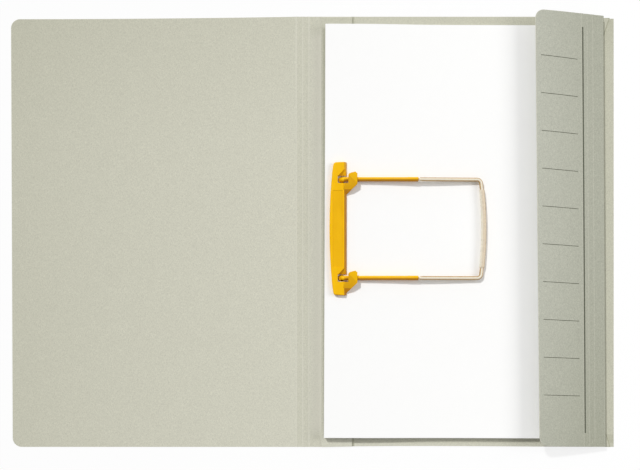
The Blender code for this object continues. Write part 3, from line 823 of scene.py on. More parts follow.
class FOLDER_OT_covers(bpy.types.Operator):
    """Make the front cover, spine and back cover, with a ridged crease at each fold"""

    bl_idname = "flap_folder.covers"
    bl_label = "Covers and spine"

    def execute(self, context):
        card = context.scene.flap_folder.card
        low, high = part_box("back_cover")
        thickness = high.z - low.z
        half = card.crease
        folds = [fold_at(name).x for name in COVER_FOLDS]
        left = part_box("front_cover")[0].x
        starts = [high.x] + [fold - half for fold in folds]
        ends = [fold + half for fold in folds] + [left]
        for (body, node, tone), start, end in zip(COVER_PANELS, starts, ends):
            seams = [side for side, place in (("low", end), ("high", start)) if place not in (left, high.x)]
            corner = card.cover_corner if body == "cover" else 0.0
            bm = card_panel(card, (end, low.y, low.z), (start, high.y, high.z), seams, corner, tone)
            if body == "cover":
                self.trim(card, bm, start, left, low.y, high.y)
            if body == "spine_inner":
                self.pale(card, bm, start, end)
            if body == "back":
                self.cut_back(card, bm, end, start, high.y)
            panel = piece_from(bm, f"{node}_card", "card")
            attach(panel, body)
            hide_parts(node)
        for index, fold in enumerate(folds):
            (first, _, right_tone), (second, _, left_tone) = COVER_PANELS[index : index + 2]
            tones = (left_tone, right_tone)
            bm = crease_strip(card, fold, low.y, high.y, low.z, thickness, card.ridge, tones)
            if first == "back":
                self.pale(card, bm, starts[1], ends[1])
            crease = piece_from(bm, f"crease_{first}_{second}", "card")
            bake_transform(crease, first, second, (fold + half, 0.0, high.z), (fold - half, 0.0, high.z))
        return {"FINISHED"}

    def trim(self, card, bm, spine, left, foot, head):
        """Cuts the cover a little out of square, as a guillotine does, and paints shade that grows towards
        its free edge and head.
        """
        slice_evenly(bm, 0, left, spine, CREASE_STEPS)
        slice_evenly(bm, 1, foot, head, CREASE_STEPS)
        rub_and_shade_layer = bm.verts.layers.float["rub_and_painted_shade"]
        for vertex in bm.verts:
            along = (spine - vertex.co.x) / (spine - left)
            up = (vertex.co.y - foot) / (head - foot)
            # Painted shade towards the free edge and the head
            side = card.side_shade_tone * along + card.edge_shade_tone * along**3
            vertex[rub_and_shade_layer] = side + card.head_shade_tone * max(up - card.head_start, 0.0)
            vertex.co.y -= card.trim * along * (2 - along) * up
            vertex.co.x += card.lean * along * (1 - up)

    def pale(self, card, bm, start, end):
        """Paints light on the spine, more towards the stack, to lift the stack's shadow off it, and makes it
        darker past the stack's ends.
        """
        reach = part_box("sheets_upper")[1].y
        fade = reach - 10 * card.gap
        slice_at(bm, 1, [-reach, -fade, fade, reach])
        wear_and_painted_light = bm.verts.layers.float["wear_and_painted_light"]
        rub_and_shade_layer = bm.verts.layers.float["rub_and_painted_shade"]
        for vertex in bm.verts:
            beside = abs(vertex.co.y) < fade + TOUCH
            share = card.spine_painted_light if beside else card.spine_end_painted_light
            # Painted light against the stack's shadow, and darker past the stack's ends
            vertex[wear_and_painted_light] = max(vertex[wear_and_painted_light], share * (vertex.co.x - end) / (start - end))
            vertex[rub_and_shade_layer] += 0.0 if beside else card.spine_end_tone

    def cut_back(self, card, bm, spine, right, head):
        """Steps the back cover's top edge down beside the flap, bows its foot in, and darkens its margins:
        painted shade towards its right edge, a painted shadow along its foot and beside the mounting strip,
        and a darker head.
        """
        step = fold_at("flap_fold").x - 2 * card.crease
        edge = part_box("mounting_strip")[1].x
        strip = edge - card.strip_gap
        # Where the painted shadow line beside the strip starts, is full, is full for the last time and ends
        line = [strip - 1.3 * card.gap, strip - card.gap, edge, edge + 0.2 * card.gap]
        slice_at(bm, 0, line + [step - card.crease, step])
        slice_at(bm, 0, [spine + (right - spine) * share / FOLD_STEPS for share in range(2, FOLD_STEPS)])
        foot = [place - head for place in FOOT_BAND]
        start = card.back_head_start
        slice_at(bm, 1, [start * head, (1 + start) / 2 * head] + foot)
        rub_and_shade_layer = bm.verts.layers.float["rub_and_painted_shade"]
        for vertex in bm.verts:
            along = (vertex.co.x - spine) / (right - spine)
            up = vertex.co.y / head
            # Painted shadow line beside the mounting strip
            inside = line[1] - TOUCH < vertex.co.x < line[2] + TOUCH
            # Painted shade towards the right edge; darker towards the head
            tone = card.margin_shade_tone * along + card.margin_edge_shade_tone * along**4 + max(up - start, 0.0)
            # Painted shadow of the stack along the foot
            if foot[1] - TOUCH < vertex.co.y < foot[2] + TOUCH:
                tone += card.foot_shadow_tone
            vertex[rub_and_shade_layer] = card.strip_shadow_tone if inside else tone
            if vertex.co.x > step - TOUCH and vertex.co.y > head / 2:
                vertex.co.y -= card.step
            if vertex.co.y < foot[0] - TOUCH:
                vertex.co.y += bowed_foot(card, vertex.co.x)


def bowed_foot(card, x):
    """How far the back cover's lower edge bows in at a place along it, most at a third of its width."""
    low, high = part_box("back_cover")
    along = clamped((x - low.x) / (high.x - low.x))
    return BOW_PEAK * card.foot_bow * along * (1 - along) ** 2


class FOLDER_OT_mounting_strip(bpy.types.Operator):
    """Make the second layer of card under the clip, glued to the back cover, with a slightly lifted edge"""

    bl_idname = "flap_folder.mounting_strip"
    bl_label = "Mounting strip"

    def execute(self, context):
        card = context.scene.flap_folder.card
        low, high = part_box("mounting_strip")
        high.x -= card.strip_gap
        high.y -= card.strip_inset
        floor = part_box("back_cover")[1].z
        bm = card_panel(card, low, high, ())
        lip = low.x + card.crease
        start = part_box("clip_base")[1].x + card.crease / 2
        slice_at(bm, 0, [lip] + [start + (high.x - start) * step / FOLD_STEPS for step in range(FOLD_STEPS)])
        for vertex in bm.verts:
            lift = max((vertex.co.x - start) / (high.x - start), 0.0)
            if lip - TOUCH < vertex.co.x < start + TOUCH and vertex.co.z < (low.z + high.z) / 2:
                vertex.co.z -= low.z - floor
            vertex.co.z += card.curl * lift * lift
            if vertex.co.y < low.y + card.gap:
                vertex.co.y += bowed_foot(card, vertex.co.x)
        self.paint_stack_shadow(card, bm)
        strip = piece_from(bm, "mounting_strip_card", "card")
        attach(strip, "back")
        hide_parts("mounting_strip")
        return {"FINISHED"}

    def paint_stack_shadow(self, card, bm):
        """Paints the stack's shadow as a dark line beside it, and darkens the strip's head."""
        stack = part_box("sheets_upper")
        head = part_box("mounting_strip")[1].y
        right = stack[0].x + card.gap
        # Where the painted shadow line starts, is full, is full for the last time and ends
        line = [right - 2.2 * card.gap, right - 1.8 * card.gap, right, right + card.gap]
        reach = stack[1].y - 2 * card.gap
        slice_at(bm, 0, line)
        slice_at(bm, 1, [-reach - card.gap, -reach, reach, reach + card.gap])
        rub_and_shade_layer = bm.verts.layers.float["rub_and_painted_shade"]
        for vertex in bm.verts:
            # Darker towards the strip's head
            vertex[rub_and_shade_layer] = card.strip_head_tone * max(vertex.co.y / head - card.back_head_start, 0.0)
            # Painted shadow line beside the stack
            if line[1] - TOUCH < vertex.co.x < line[2] + TOUCH and abs(vertex.co.y) < reach + TOUCH:
                vertex[rub_and_shade_layer] = card.stack_shadow_tone


class FOLDER_OT_flap(bpy.types.Operator):
    """Make the flap: its glued tab, upright gusset, scored strips and wide panel with printed rules"""

    bl_idname = "flap_folder.flap"
    bl_label = "Side flap"

    def execute(self, context):
        card = context.scene.flap_folder.card
        self.card = card
        self.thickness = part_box("back_cover")[1].z
        self.foot = fold_at("gusset_fold")
        self.fold = fold_at("flap_fold")
        scores = [fold_at(name) for name in FLAP_SCORES]
        along = (scores[0] - self.fold).normalized()
        across = Vector((0.0, -1.0, 0.0))
        up = along.cross(across)
        self.turn = Matrix((along, across, up)).transposed().to_4x4()
        self.turn.translation = self.fold
        self.reach = [(score - self.fold).length for score in scores]
        self.half_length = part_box("flap_gusset")[1].y - card.shrink
        self.full = (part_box("flap_panel")[0].x - self.fold.x) / along.x
        self.make_foot()
        self.make_facets()
        self.make_strips()
        self.make_rules()
        return {"FINISHED"}

    def lay(self, bm):
        """Takes a mesh made flat, with the fold at X 0, to its place on the bowed and tilted flap."""
        card = self.card
        for vertex in bm.verts:
            share = max(vertex.co.x, 0.0) / self.full
            vertex.co.z += BOW_PEAK * card.bow * share * share * (1 - share)
            vertex.co.x -= card.splay * share * (self.half_length + vertex.co.y)
            vertex.co.y = vertex.co.y * (1 - card.taper * share) - card.skew * share + card.drop
        bmesh.ops.transform(bm, matrix=self.turn, verts=bm.verts)
        return self.slanted(bm)

    def slanted(self, bm):
        """Shifts a mesh along X, more towards the page's top."""
        for vertex in bm.verts:
            vertex.co.x -= self.card.slant * (vertex.co.y + self.card.pivot * self.half_length)
        return bm

    def upright(self, section):
        """A length of the gusset or of its folds, with painted shade, darkest on its outer side."""
        drop = self.card.drop
        bm = prism(section, -self.half_length - drop, self.half_length - drop)
        rub_and_shade_layer = bm.verts.layers.float.new("rub_and_painted_shade")
        for vertex in bm.verts:
            out = (vertex.co.x - self.fold.x) / self.card.crease
            vertex[rub_and_shade_layer] = min(max(1.0 + out, self.card.gusset_inner_shade_tone), self.card.gusset_shade_tone)
        return self.slanted(bm)

    def make_foot(self):
        """The glued tab, the gusset and the folds at the gusset's foot and top."""
        card = self.card
        bend = card.crease
        flat = Vector((self.foot.x, self.foot.z))
        top = Vector((self.fold.x, self.fold.z))
        low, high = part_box("flap_glue_tab")
        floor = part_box("back_cover")[1].z
        bm = card_panel(card, (low.x, low.y, floor), (flat.x - bend, high.y, high.z), ["high"])
        tab = piece_from(self.slanted(bm), "flap_tab_card", "shaded_flap_card")
        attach(tab, "back")
        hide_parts("flap_glue_tab")
        rise = Vector((0.0, bend))
        first = flat - Vector((bend, 0.0))
        section = fold_section(first, flat, flat + rise, card.fold_radius, self.thickness)
        crease = piece_from(self.upright(section), "crease_back_gusset", "shaded_flap_card")
        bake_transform(crease, "back", "gusset", (flat.x - bend, 0.0, flat.y), (flat.x, 0.0, flat.y + bend))
        half = self.thickness / 2
        wall = [
            (flat.x - half, flat.y + bend),
            (flat.x + half, flat.y + bend),
            (flat.x + half, top.y - bend),
            (flat.x - half, top.y - bend),
        ]
        gusset = piece_from(self.upright(wall), "gusset_card", "shaded_flap_card")
        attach(gusset, "gusset")
        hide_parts("flap_gusset")
        reach = self.turn @ Vector((bend, 0.0, 0.0))
        last = Vector((reach.x, reach.z))
        section = fold_section(top - rise, top, last, card.fold_radius, self.thickness)
        crease = piece_from(self.upright(section), "crease_gusset_flap", "shaded_flap_card")
        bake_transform(crease, "gusset", "flap_root", (top.x, 0.0, top.y - bend), (last.x, 0.0, last.y))

    def make_facets(self):
        """The small facet at each end of the gusset's foot, with a painted shadow line round it."""
        card = self.card
        left = self.foot.x - card.crease
        facets = bmesh.new()
        low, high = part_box("back_cover")
        for end in (high.y - card.step + card.facet_lip, low.y):
            inner = end - math.copysign(card.flare_length, end)
            side = self.foot.x + (0.0 if end > 0 else card.facet_line)
            corners = [(left, end), (side + card.flare, end), (side, inner), (left, inner)]
            bm = plate(corners, high.z, high.z + card.facet_depth)
            rub_and_shade_layer = bm.verts.layers.float.new("rub_and_painted_shade")
            faces = [face for face in bm.faces if face.normal.z > LEVEL]
            for width in (card.facet_line, card.facet_line / 4):
                bmesh.ops.inset_region(bm, faces=faces, thickness=width, use_even_offset=True)
            # Painted shadow line round the facet, but not at its left side
            for vertex in bm.verts:
                vertex[rub_and_shade_layer] = 1.0 if vertex.co.x > left + card.crease / 2 else card.facet_tone
            for vertex in faces[0].verts:
                vertex[rub_and_shade_layer] = card.facet_tone
            add_to(facets, bm)
        piece = piece_from(facets, "gusset_facets", "card")
        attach(piece, "back")

    def make_strips(self):
        """The strips and the panel, with a crease at each score."""
        card = self.card
        bend = card.crease
        half = self.thickness / 2
        starts = [bend] + [score + bend for score in self.reach]
        ends = [score - bend for score in self.reach] + [self.full]
        for (body, node, tone), start, end in zip(FLAP_PANELS, starts, ends):
            seams = ["low"] if body == "flap" else ["low", "high"]
            corner = card.flap_corner if body == "flap" else 0.0
            low = (start, -self.half_length, -half)
            high = (end, self.half_length, half)
            bm = card_panel(card, low, high, seams, corner, tone)
            slice_evenly(bm, 0, start, end, FOLD_STEPS)
            if body == "flap":
                self.fade(bm, start, end)
            self.dull(bm)
            if body == "flap_inner":
                self.print_line(bm)
            panel = piece_from(self.lay(bm), f"{node}_card", "shaded_flap_card", ["ink"])
            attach(panel, body)
            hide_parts(node)
        for index, score in enumerate(self.reach):
            (first, _, low_tone), (second, _, high_tone) = FLAP_PANELS[index : index + 2]
            bm = crease_strip(
                card,
                score,
                -self.half_length,
                self.half_length,
                -half,
                self.thickness,
                card.score_ridge,
                (low_tone, high_tone),
            )
            self.dull(bm)
            if second == "flap":
                self.print_line(bm)
            crease = piece_from(self.lay(bm), f"crease_{first}_{second}", "shaded_flap_card", ["ink"])
            start = self.turn @ Vector((score - bend, 0.0, 0.0))
            end = self.turn @ Vector((score + bend, 0.0, 0.0))
            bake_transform(crease, first, second, start, end)

    def fade(self, bm, start, end):
        """Lets the painted shade die away towards the free edge."""
        rub_and_shade_layer = bm.verts.layers.float["rub_and_painted_shade"]
        for vertex in bm.verts:
            vertex[rub_and_shade_layer] *= (end - vertex.co.x) / (end - start)

    def dull(self, bm):
        """Darkens flat flap card towards its ends, most at the page's foot."""
        middle = -self.half_length / 3
        reach = self.half_length - middle
        slice_evenly(bm, 1, -self.half_length, self.half_length, CREASE_STEPS)
        rub_and_shade_layer = bm.verts.layers.float["rub_and_painted_shade"]
        for vertex in bm.verts:
            vertex[rub_and_shade_layer] += self.card.flap_foot_tone * ((vertex.co.y - middle) / reach) ** 2

    def print_line(self, bm):
        """Inks a line along the last score of flat flap card, short of its ends."""
        reach = self.half_length - self.card.line_inset
        end = self.reach[-1] - self.card.line_gap
        start = end - self.card.line_width
        slice_at(bm, 0, [start, end])
        slice_at(bm, 1, [-reach, reach])
        for face in bm.faces:
            middle = face.calc_center_median()
            if start < middle.x < end and abs(middle.y) < reach and middle.z > 0:
                face.material_index = 1

    def make_rules(self):
        """The short printed rules, each a thin film of ink."""
        card = self.card
        half = self.thickness / 2
        rules = bmesh.new()
        for index in range(card.rule_count):
            low = (card.rule_start, -card.rule_width / 2, half - card.rule_depth)
            high = (card.rule_end, card.rule_width / 2, half + card.rule_depth)
            bm = block(low, high)
            slice_evenly(bm, 0, card.rule_start, card.rule_end, FOLD_STEPS)
            far = card.rule_top - index * card.rule_pitch
            slope = card.rule_slope + index * card.rule_turn
            for vertex in bm.verts:
                vertex.co.y -= far - slope * (card.rule_end - vertex.co.x)
            add_to(rules, self.lay(bm))
        piece = piece_from(rules, "flap_rules", "ink")
        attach(piece, "flap")


def add_to(whole, bm):
    """Adds the mesh in bm to another."""
    mesh = bpy.data.meshes.new("part")
    bm.to_mesh(mesh)
    bm.free()
    whole.from_mesh(mesh)
    bpy.data.meshes.remove(mesh)


class FOLDER_OT_sheets(bpy.types.Operator):
    """Make the stack of punched sheets, each a thin leaf that drapes from the clip to the cover"""

    bl_idname = "flap_folder.sheets"
    bl_label = "Punched sheets"

    def execute(self, context):
        looks = context.scene.flap_folder.sheets
        low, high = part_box("sheets_lower")[0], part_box("sheets_upper")[1]
        low.x += looks.inset
        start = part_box("mounting_strip")[1].x + looks.drape_margin
        lift = high.z - self.stack_height() - low.z
        leaf = self.leaf(looks, low, high, start)
        pitch = (self.stack_height() - looks.slack) / looks.count
        mesh = bpy.data.meshes.new("leaf")
        bmesh.ops.translate(leaf, verts=leaf.verts, vec=(0.0, 0.0, low.z))
        pull(leaf, (0.0, 0.0, LEAF_SHARE * pitch))
        leaf.to_mesh(mesh)
        leaf.free()
        draw = random.Random(looks.seed)
        stack = bmesh.new()
        clip = fold_at("tubes_fold")
        for index in range(looks.count):
            before = len(stack.verts)
            stack.from_mesh(mesh)
            stack.verts.ensure_lookup_table()
            fresh = stack.verts[before:]
            shift = Vector([draw.uniform(-looks.stagger, looks.stagger) for _ in range(2)] + [index * pitch])
            angle = looks.turn + draw.uniform(-looks.turn_stagger, looks.turn_stagger)
            bmesh.ops.rotate(stack, verts=fresh, cent=clip, matrix=Matrix.Rotation(angle, 3, "Z"))
            bmesh.ops.translate(stack, verts=fresh, vec=shift)
        for vertex in stack.verts:
            share = clamped((vertex.co.x - start) / looks.drape_length)
            vertex.co.z += lift * (1 - share * share * (3 - 2 * share))
        bpy.data.meshes.remove(mesh)
        piece = piece_from(stack, "sheet_stack", "paper")
        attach(piece, "back")
        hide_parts("sheets_lower", "sheets_upper")
        return {"FINISHED"}

    def stack_height(self):
        """Height of the whole stack at its flat right end."""
        upper = frame["nodes"]["sheets_upper"].data.vertices
        right = max(vertex.co.x for vertex in upper)
        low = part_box("sheets_lower")[0].z
        return max(v.co.z for v in upper if v.co.x > right - MM) - low

    def leaf(self, looks, low, high, start):
        """A flat leaf with two holes, cut across where it drapes."""
        bm = bmesh.new()
        size = (high.x - low.x, high.y - low.y, 1.0)
        place = Matrix.LocRotScale(((low.x + high.x) / 2, (low.y + high.y) / 2, 0.0), None, size)
        bmesh.ops.create_grid(bm, x_segments=1, y_segments=1, size=0.5, matrix=place)
        slice_at(bm, 0, [start + looks.drape_length * step / DRAPE_STEPS for step in range(DRAPE_STEPS + 1)])
        for name in ("tube_upper", "tube_lower"):
            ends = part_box(name)
            y = (ends[0].y + ends[1].y) / 2
            room = HOLE_ROOM * looks.hole
            slice_at(bm, 1, [y - room, y + room])
            x = fold_at("tubes_fold").x + looks.hole_set
            middles = [(face, face.calc_center_median()) for face in bm.faces]
            inside = [face for face, middle in middles if middle.x < start and abs(middle.y - y) < room]
            edges = list({edge for face in inside for edge in face.edges})
            bmesh.ops.delete(bm, geom=inside, context="FACES_ONLY")
            ring = bmesh.ops.create_circle(
                bm, segments=ROD_SIDES, radius=looks.hole / 2, matrix=Matrix.Translation((x, y, 0.0))
            )["verts"]
            edges += list({edge for vertex in ring for edge in vertex.link_edges})
            bmesh.ops.bridge_loops(bm, edges=edges)
        bmesh.ops.recalc_face_normals(bm, faces=bm.faces)
        return bm


class FOLDER_OT_bar(bpy.types.Operator):
    """Make the clip's bar, with a sloped right side, two notches and a plain shallow panel"""

    bl_idname = "flap_folder.bar"
    bl_label = "Clip base and bar"

    def execute(self, context):
        clip = context.scene.flap_folder.clip
        for slot in frame["nodes"]["clip_base"].material_slots:
            slot.material = finish_named("clip_plastic")
        low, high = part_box("compressor_bar")
        low.x += clip.inset
        high.x += clip.overhang
        rows = tube_rows()
        bm = plate(self.outline(clip, low, high, rows), low.z, high.z)
        bow = low.x + clip.bow + clip.bar_corner
        rim = [edge for edge in bm.edges if all(v.co.z > low.z and v.co.x < bow for v in edge.verts)]
        bevel(bm, rim, clip.shoulder, FOLD_STEPS)
        bar = piece_from(bm, "clip_bar", "clip_plastic")
        slope = [
            (high.x - clip.slope, high.z),
            (high.x + clip.slope, high.z - 2 * clip.slope_drop),
            (high.x + clip.slope, high.z + clip.slope),
            (high.x - clip.slope, high.z + clip.slope),
        ]
        combine(bar, prism(slope, low.y - MM, high.y + MM), "DIFFERENCE")
        middle = (low.y + high.y) / 2
        right = high.x - clip.panel_inset
        panel = block(
            (right - clip.panel_width, middle - clip.panel_length / 2, high.z - clip.panel_depth),
            (right, middle + clip.panel_length / 2, high.z + MM),
        )
        combine(bar, panel, "DIFFERENCE")
        for y in rows:
            combine(bar, self.funnel(clip, high, y), "DIFFERENCE")
        # Painted shade on the bar, brown where its faces lean to the right or down the page
        paint_shade(bar, lambda face: self.depth(clip, face, high.z))
        round_edges(bar, clip.edge_round)
        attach(bar, "back")
        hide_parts("compressor_bar")
        return {"FINISHED"}

    def outline(self, clip, low, high, rows):
        """Straight right side with a notch at each tube, and a bowed left side with round corners."""
        floor = fold_at("tubes_fold").x - clip.notch_floor
        half = clip.notch_width / 2
        points = [(high.x, low.y)]
        for y in sorted(rows):
            points += [(high.x, y - half), (floor, y - half), (floor, y + half), (high.x, y + half)]
        points.append((high.x, high.y))
        middle = (low.y + high.y) / 2
        reach = (high.y - low.y) / 2
        corner = clip.bar_corner
        end = low.x + clip.bow
        points += arc((end + corner, high.y - corner), corner, 90, 170, CORNER_STEPS)
        for step in range(1, 2 * CORNER_STEPS):
            share = (1 - step / CORNER_STEPS) * (1 - corner / reach)
            points.append((low.x + clip.bow * share * share, middle + reach * share))
        points += arc((end + corner, low.y + corner), corner, 190, 270, CORNER_STEPS)
        return points

    def depth(self, clip, face, top):
        """Painted shade of a face: full on the right side and down-facing sides up to the upper tube, slight
        on the top and the panel.
        """
        sunk = face.normal.z > LEVEL and face.center.z < top - clip.panel_depth / 2
        share = 1.0 if face.center.y < tube_rows()[0] else BAR_UPPER_SHARE
        lean = BAR_RIGHT_SHADE * face.normal.x - BAR_FOOT_SHADE * face.normal.y
        return (BAR_PANEL_SHADE if sunk else BAR_TOP_SHADE) + share * lean

    def funnel(self, clip, high, y):
        """A wedge that slopes from the bar's top down to the upper side of a notch."""
        edge = y + clip.notch_width / 2
        left = fold_at("tubes_fold").x - clip.notch_floor
        right = high.x + MM
        bm = bmesh.new()
        for x, place, z in (
            (left, edge - MM, high.z - clip.slope_drop),
            (right, edge - MM, high.z - clip.slope_drop),
            (left, edge - MM, high.z + MM),
            (right, edge - MM, high.z + MM),
            (left, edge, high.z - clip.slope_drop / 2),
            (right, edge + clip.funnel, high.z + clip.panel_depth),
            (right, edge, high.z - clip.slope_drop),
        ):
            bm.verts.new((x, place, z))
        bmesh.ops.convex_hull(bm, input=bm.verts)
        return bm


def tube_rows():
    """Places of the two tubes along Y, upper first."""
    rows = []
    for name in ("tube_upper", "tube_lower"):
        low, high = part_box(name)
        rows.append((low.y + high.y) / 2)
    return rows


class FOLDER_OT_hooks(bpy.types.Operator):
    """Make the two snap hooks that grow out of the bar, round its notches and over the tubes"""

    bl_idname = "flap_folder.hooks"
    bl_label = "Snap hooks"

    def execute(self, context):
        clip = context.scene.flap_folder.clip
        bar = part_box("compressor_bar")[1]
        for row, y in zip(("upper", "lower"), tube_rows()):
            low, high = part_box(f"hook_{row}")
            root = bar.x - clip.slope - clip.hook_root
            under = y - clip.notch_width / 2 - clip.hook_gap
            tip = low.x + clip.hook_inset
            outline = [
                (root, under),
                (tip, under),
                *[(tip + x, high.y + drop) for x, drop in HOOK_TIP],
                (high.x - clip.hook_corner, high.y),
                (high.x, high.y - clip.hook_corner_drop),
                (high.x, under - clip.hook_step),
                (bar.x, low.y),
                (root, low.y),
            ]
            bm = plate(outline, low.z, high.z)
            for outward in HOOK_FACES:
                chop(bm, (root, low.y + clip.hook_facet, bar.z), outward)
            hook = piece_from(bm, f"snap_hook_{row}", "clip_plastic")
            tube_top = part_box(f"tube_{row}")[1].z
            roof = tube_top + clip.hook_room
            room = block((tip - MM, under, low.z - MM), (high.x + MM, high.y + MM, roof))
            combine(hook, room, "DIFFERENCE")
            # Painted shade: a little on every face, more on faces that lean down the page, away from the
            # light
            paint_shade(hook, lambda face: HOOK_TOP_SHADE - HOOK_FOOT_SHADE * face.normal.y)
            round_edges(hook, clip.edge_round)
            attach(hook, "back")
            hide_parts(f"hook_{row}")
        return {"FINISHED"}


def chop(bm, point, outward):
    """Cuts off what lies past a plane, and closes the cut."""
    bmesh.ops.bisect_plane(
        bm,
        geom=bm.verts[:] + bm.edges[:] + bm.faces[:],
        dist=TOUCH,
        plane_co=point,
        plane_no=outward,
        clear_outer=True,
    )
    bmesh.ops.holes_fill(bm, edges=[edge for edge in bm.edges if edge.is_boundary], sides=0)
    bmesh.ops.recalc_face_normals(bm, faces=bm.faces)


class FOLDER_OT_tubes(bpy.types.Operator):
    """Make the two soft tubes, each with an elbow that bends over at its hole"""

    bl_idname = "flap_folder.tubes"
    bl_label = "Tubes"

    def execute(self, context):
        clip = context.scene.flap_folder.clip
        hinge = fold_at("tubes_fold")
        for row, y in zip(("upper", "lower"), tube_rows()):
            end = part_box(f"tube_{row}")[1].x
            start = hinge.x + clip.elbow
            centre = Vector((hinge.x, y, hinge.z))
            bm = self.tube(clip, start, end, centre)
            tube = piece_from(bm, f"clip_tube_{row}", "clip_plastic")
            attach(tube, "tubes")
            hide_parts(f"tube_{row}")
            lean = math.copysign(clip.elbow_lean, hinge.y - y)
            bm = self.elbow(clip, centre, lean)
            elbow = piece_from(bm, f"tube_elbow_{row}", "clip_plastic")
            foot = centre + Vector((clip.elbow_set, 0.0, -clip.elbow))
            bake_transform(elbow, "back", "tubes", foot, centre + Vector((clip.elbow, 0.0, 0.0)))
        return {"FINISHED"}

    def tube(self, clip, start, end, centre):
        """A wall turned round the tube's line, open at its far end."""
        radius = clip.tube / 2
        bore = clip.bore / 2
        collar = end - clip.collar
        step = clip.collar_step
        wall = [
            (start, 0.0),
            (start, radius),
            (collar, radius),
            (collar + 2 * step, radius + step),
            (end - 2 * step, radius + step),
            (end, radius - step),
            (end, bore),
            (end - clip.pin_length, bore),
            (end - clip.pin_length, 0.0),
        ]
        bm = bmesh.new()
        points = [bm.verts.new((x, centre.y, centre.z + z)) for x, z in wall]
        edges = [bm.edges.new(pair) for pair in zip(points, points[1:])]
        bmesh.ops.spin(
            bm,
            geom=points + edges,
            cent=centre,
            axis=(1.0, 0.0, 0.0),
            angle=math.tau,
            steps=ROUND_SIDES,
            use_merge=True,
        )
        bmesh.ops.remove_doubles(bm, verts=bm.verts, dist=TOUCH)
        bmesh.ops.recalc_face_normals(bm, faces=bm.faces)
        # Painted shade on the tube's lower side on the page
        depth = bm.verts.layers.float.new("depth")
        for vertex in bm.verts:
            fall = TUBE_SHADE_START - (vertex.co.y - centre.y) / radius
            vertex[depth] = clamped(fall / TUBE_SHADE_FALL)
        return bm

    def elbow(self, clip, centre, lean):
        """A tube that comes up out of the hole and bends over towards the right."""
        bend = clip.elbow - clip.elbow_set - clip.elbow_lead
        foot = centre + Vector((clip.elbow_set, 0.0, -clip.elbow))
        bm = bmesh.new()
        radius = clip.tube / 2 - clip.elbow_inset
        ring = bmesh.ops.create_circle(bm, segments=ROUND_SIDES, radius=radius)["verts"]
        bmesh.ops.translate(bm, verts=ring, vec=foot)
        ring = lengthen(bm, bm.edges[:], (0.0, 0.0, clip.elbow - bend))
        turned = bmesh.ops.spin(
            bm,
            geom=ring,
            cent=foot + Vector((bend, 0.0, clip.elbow - bend)),
            axis=(0.0, 1.0, 0.0),
            angle=math.pi / 2,
            steps=FOLD_STEPS,
        )["geom_last"]
        lengthen(bm, picked(turned, bmesh.types.BMEdge), (clip.elbow_lead, 0.0, 0.0))
        bmesh.ops.holes_fill(bm, edges=[edge for edge in bm.edges if edge.is_boundary], sides=0)
        bmesh.ops.recalc_face_normals(bm, faces=bm.faces)
        # Painted shade, darker down towards the elbow's foot in the hole
        depth = bm.verts.layers.float.new("depth")
        for vertex in bm.verts:
            fall = clamped((centre.z - vertex.co.z) / clip.elbow)
            vertex[depth] = ELBOW_SHADE * fall
            vertex.co.y += lean * fall
        return bm


def lengthen(bm, edges, way):
    """Pulls an open end along way and gives the edges of the new end."""
    pulled = bmesh.ops.extrude_edge_only(bm, edges=edges)["geom"]
    bmesh.ops.translate(bm, verts=picked(pulled, bmesh.types.BMVert), vec=way)
    return picked(pulled, bmesh.types.BMEdge)


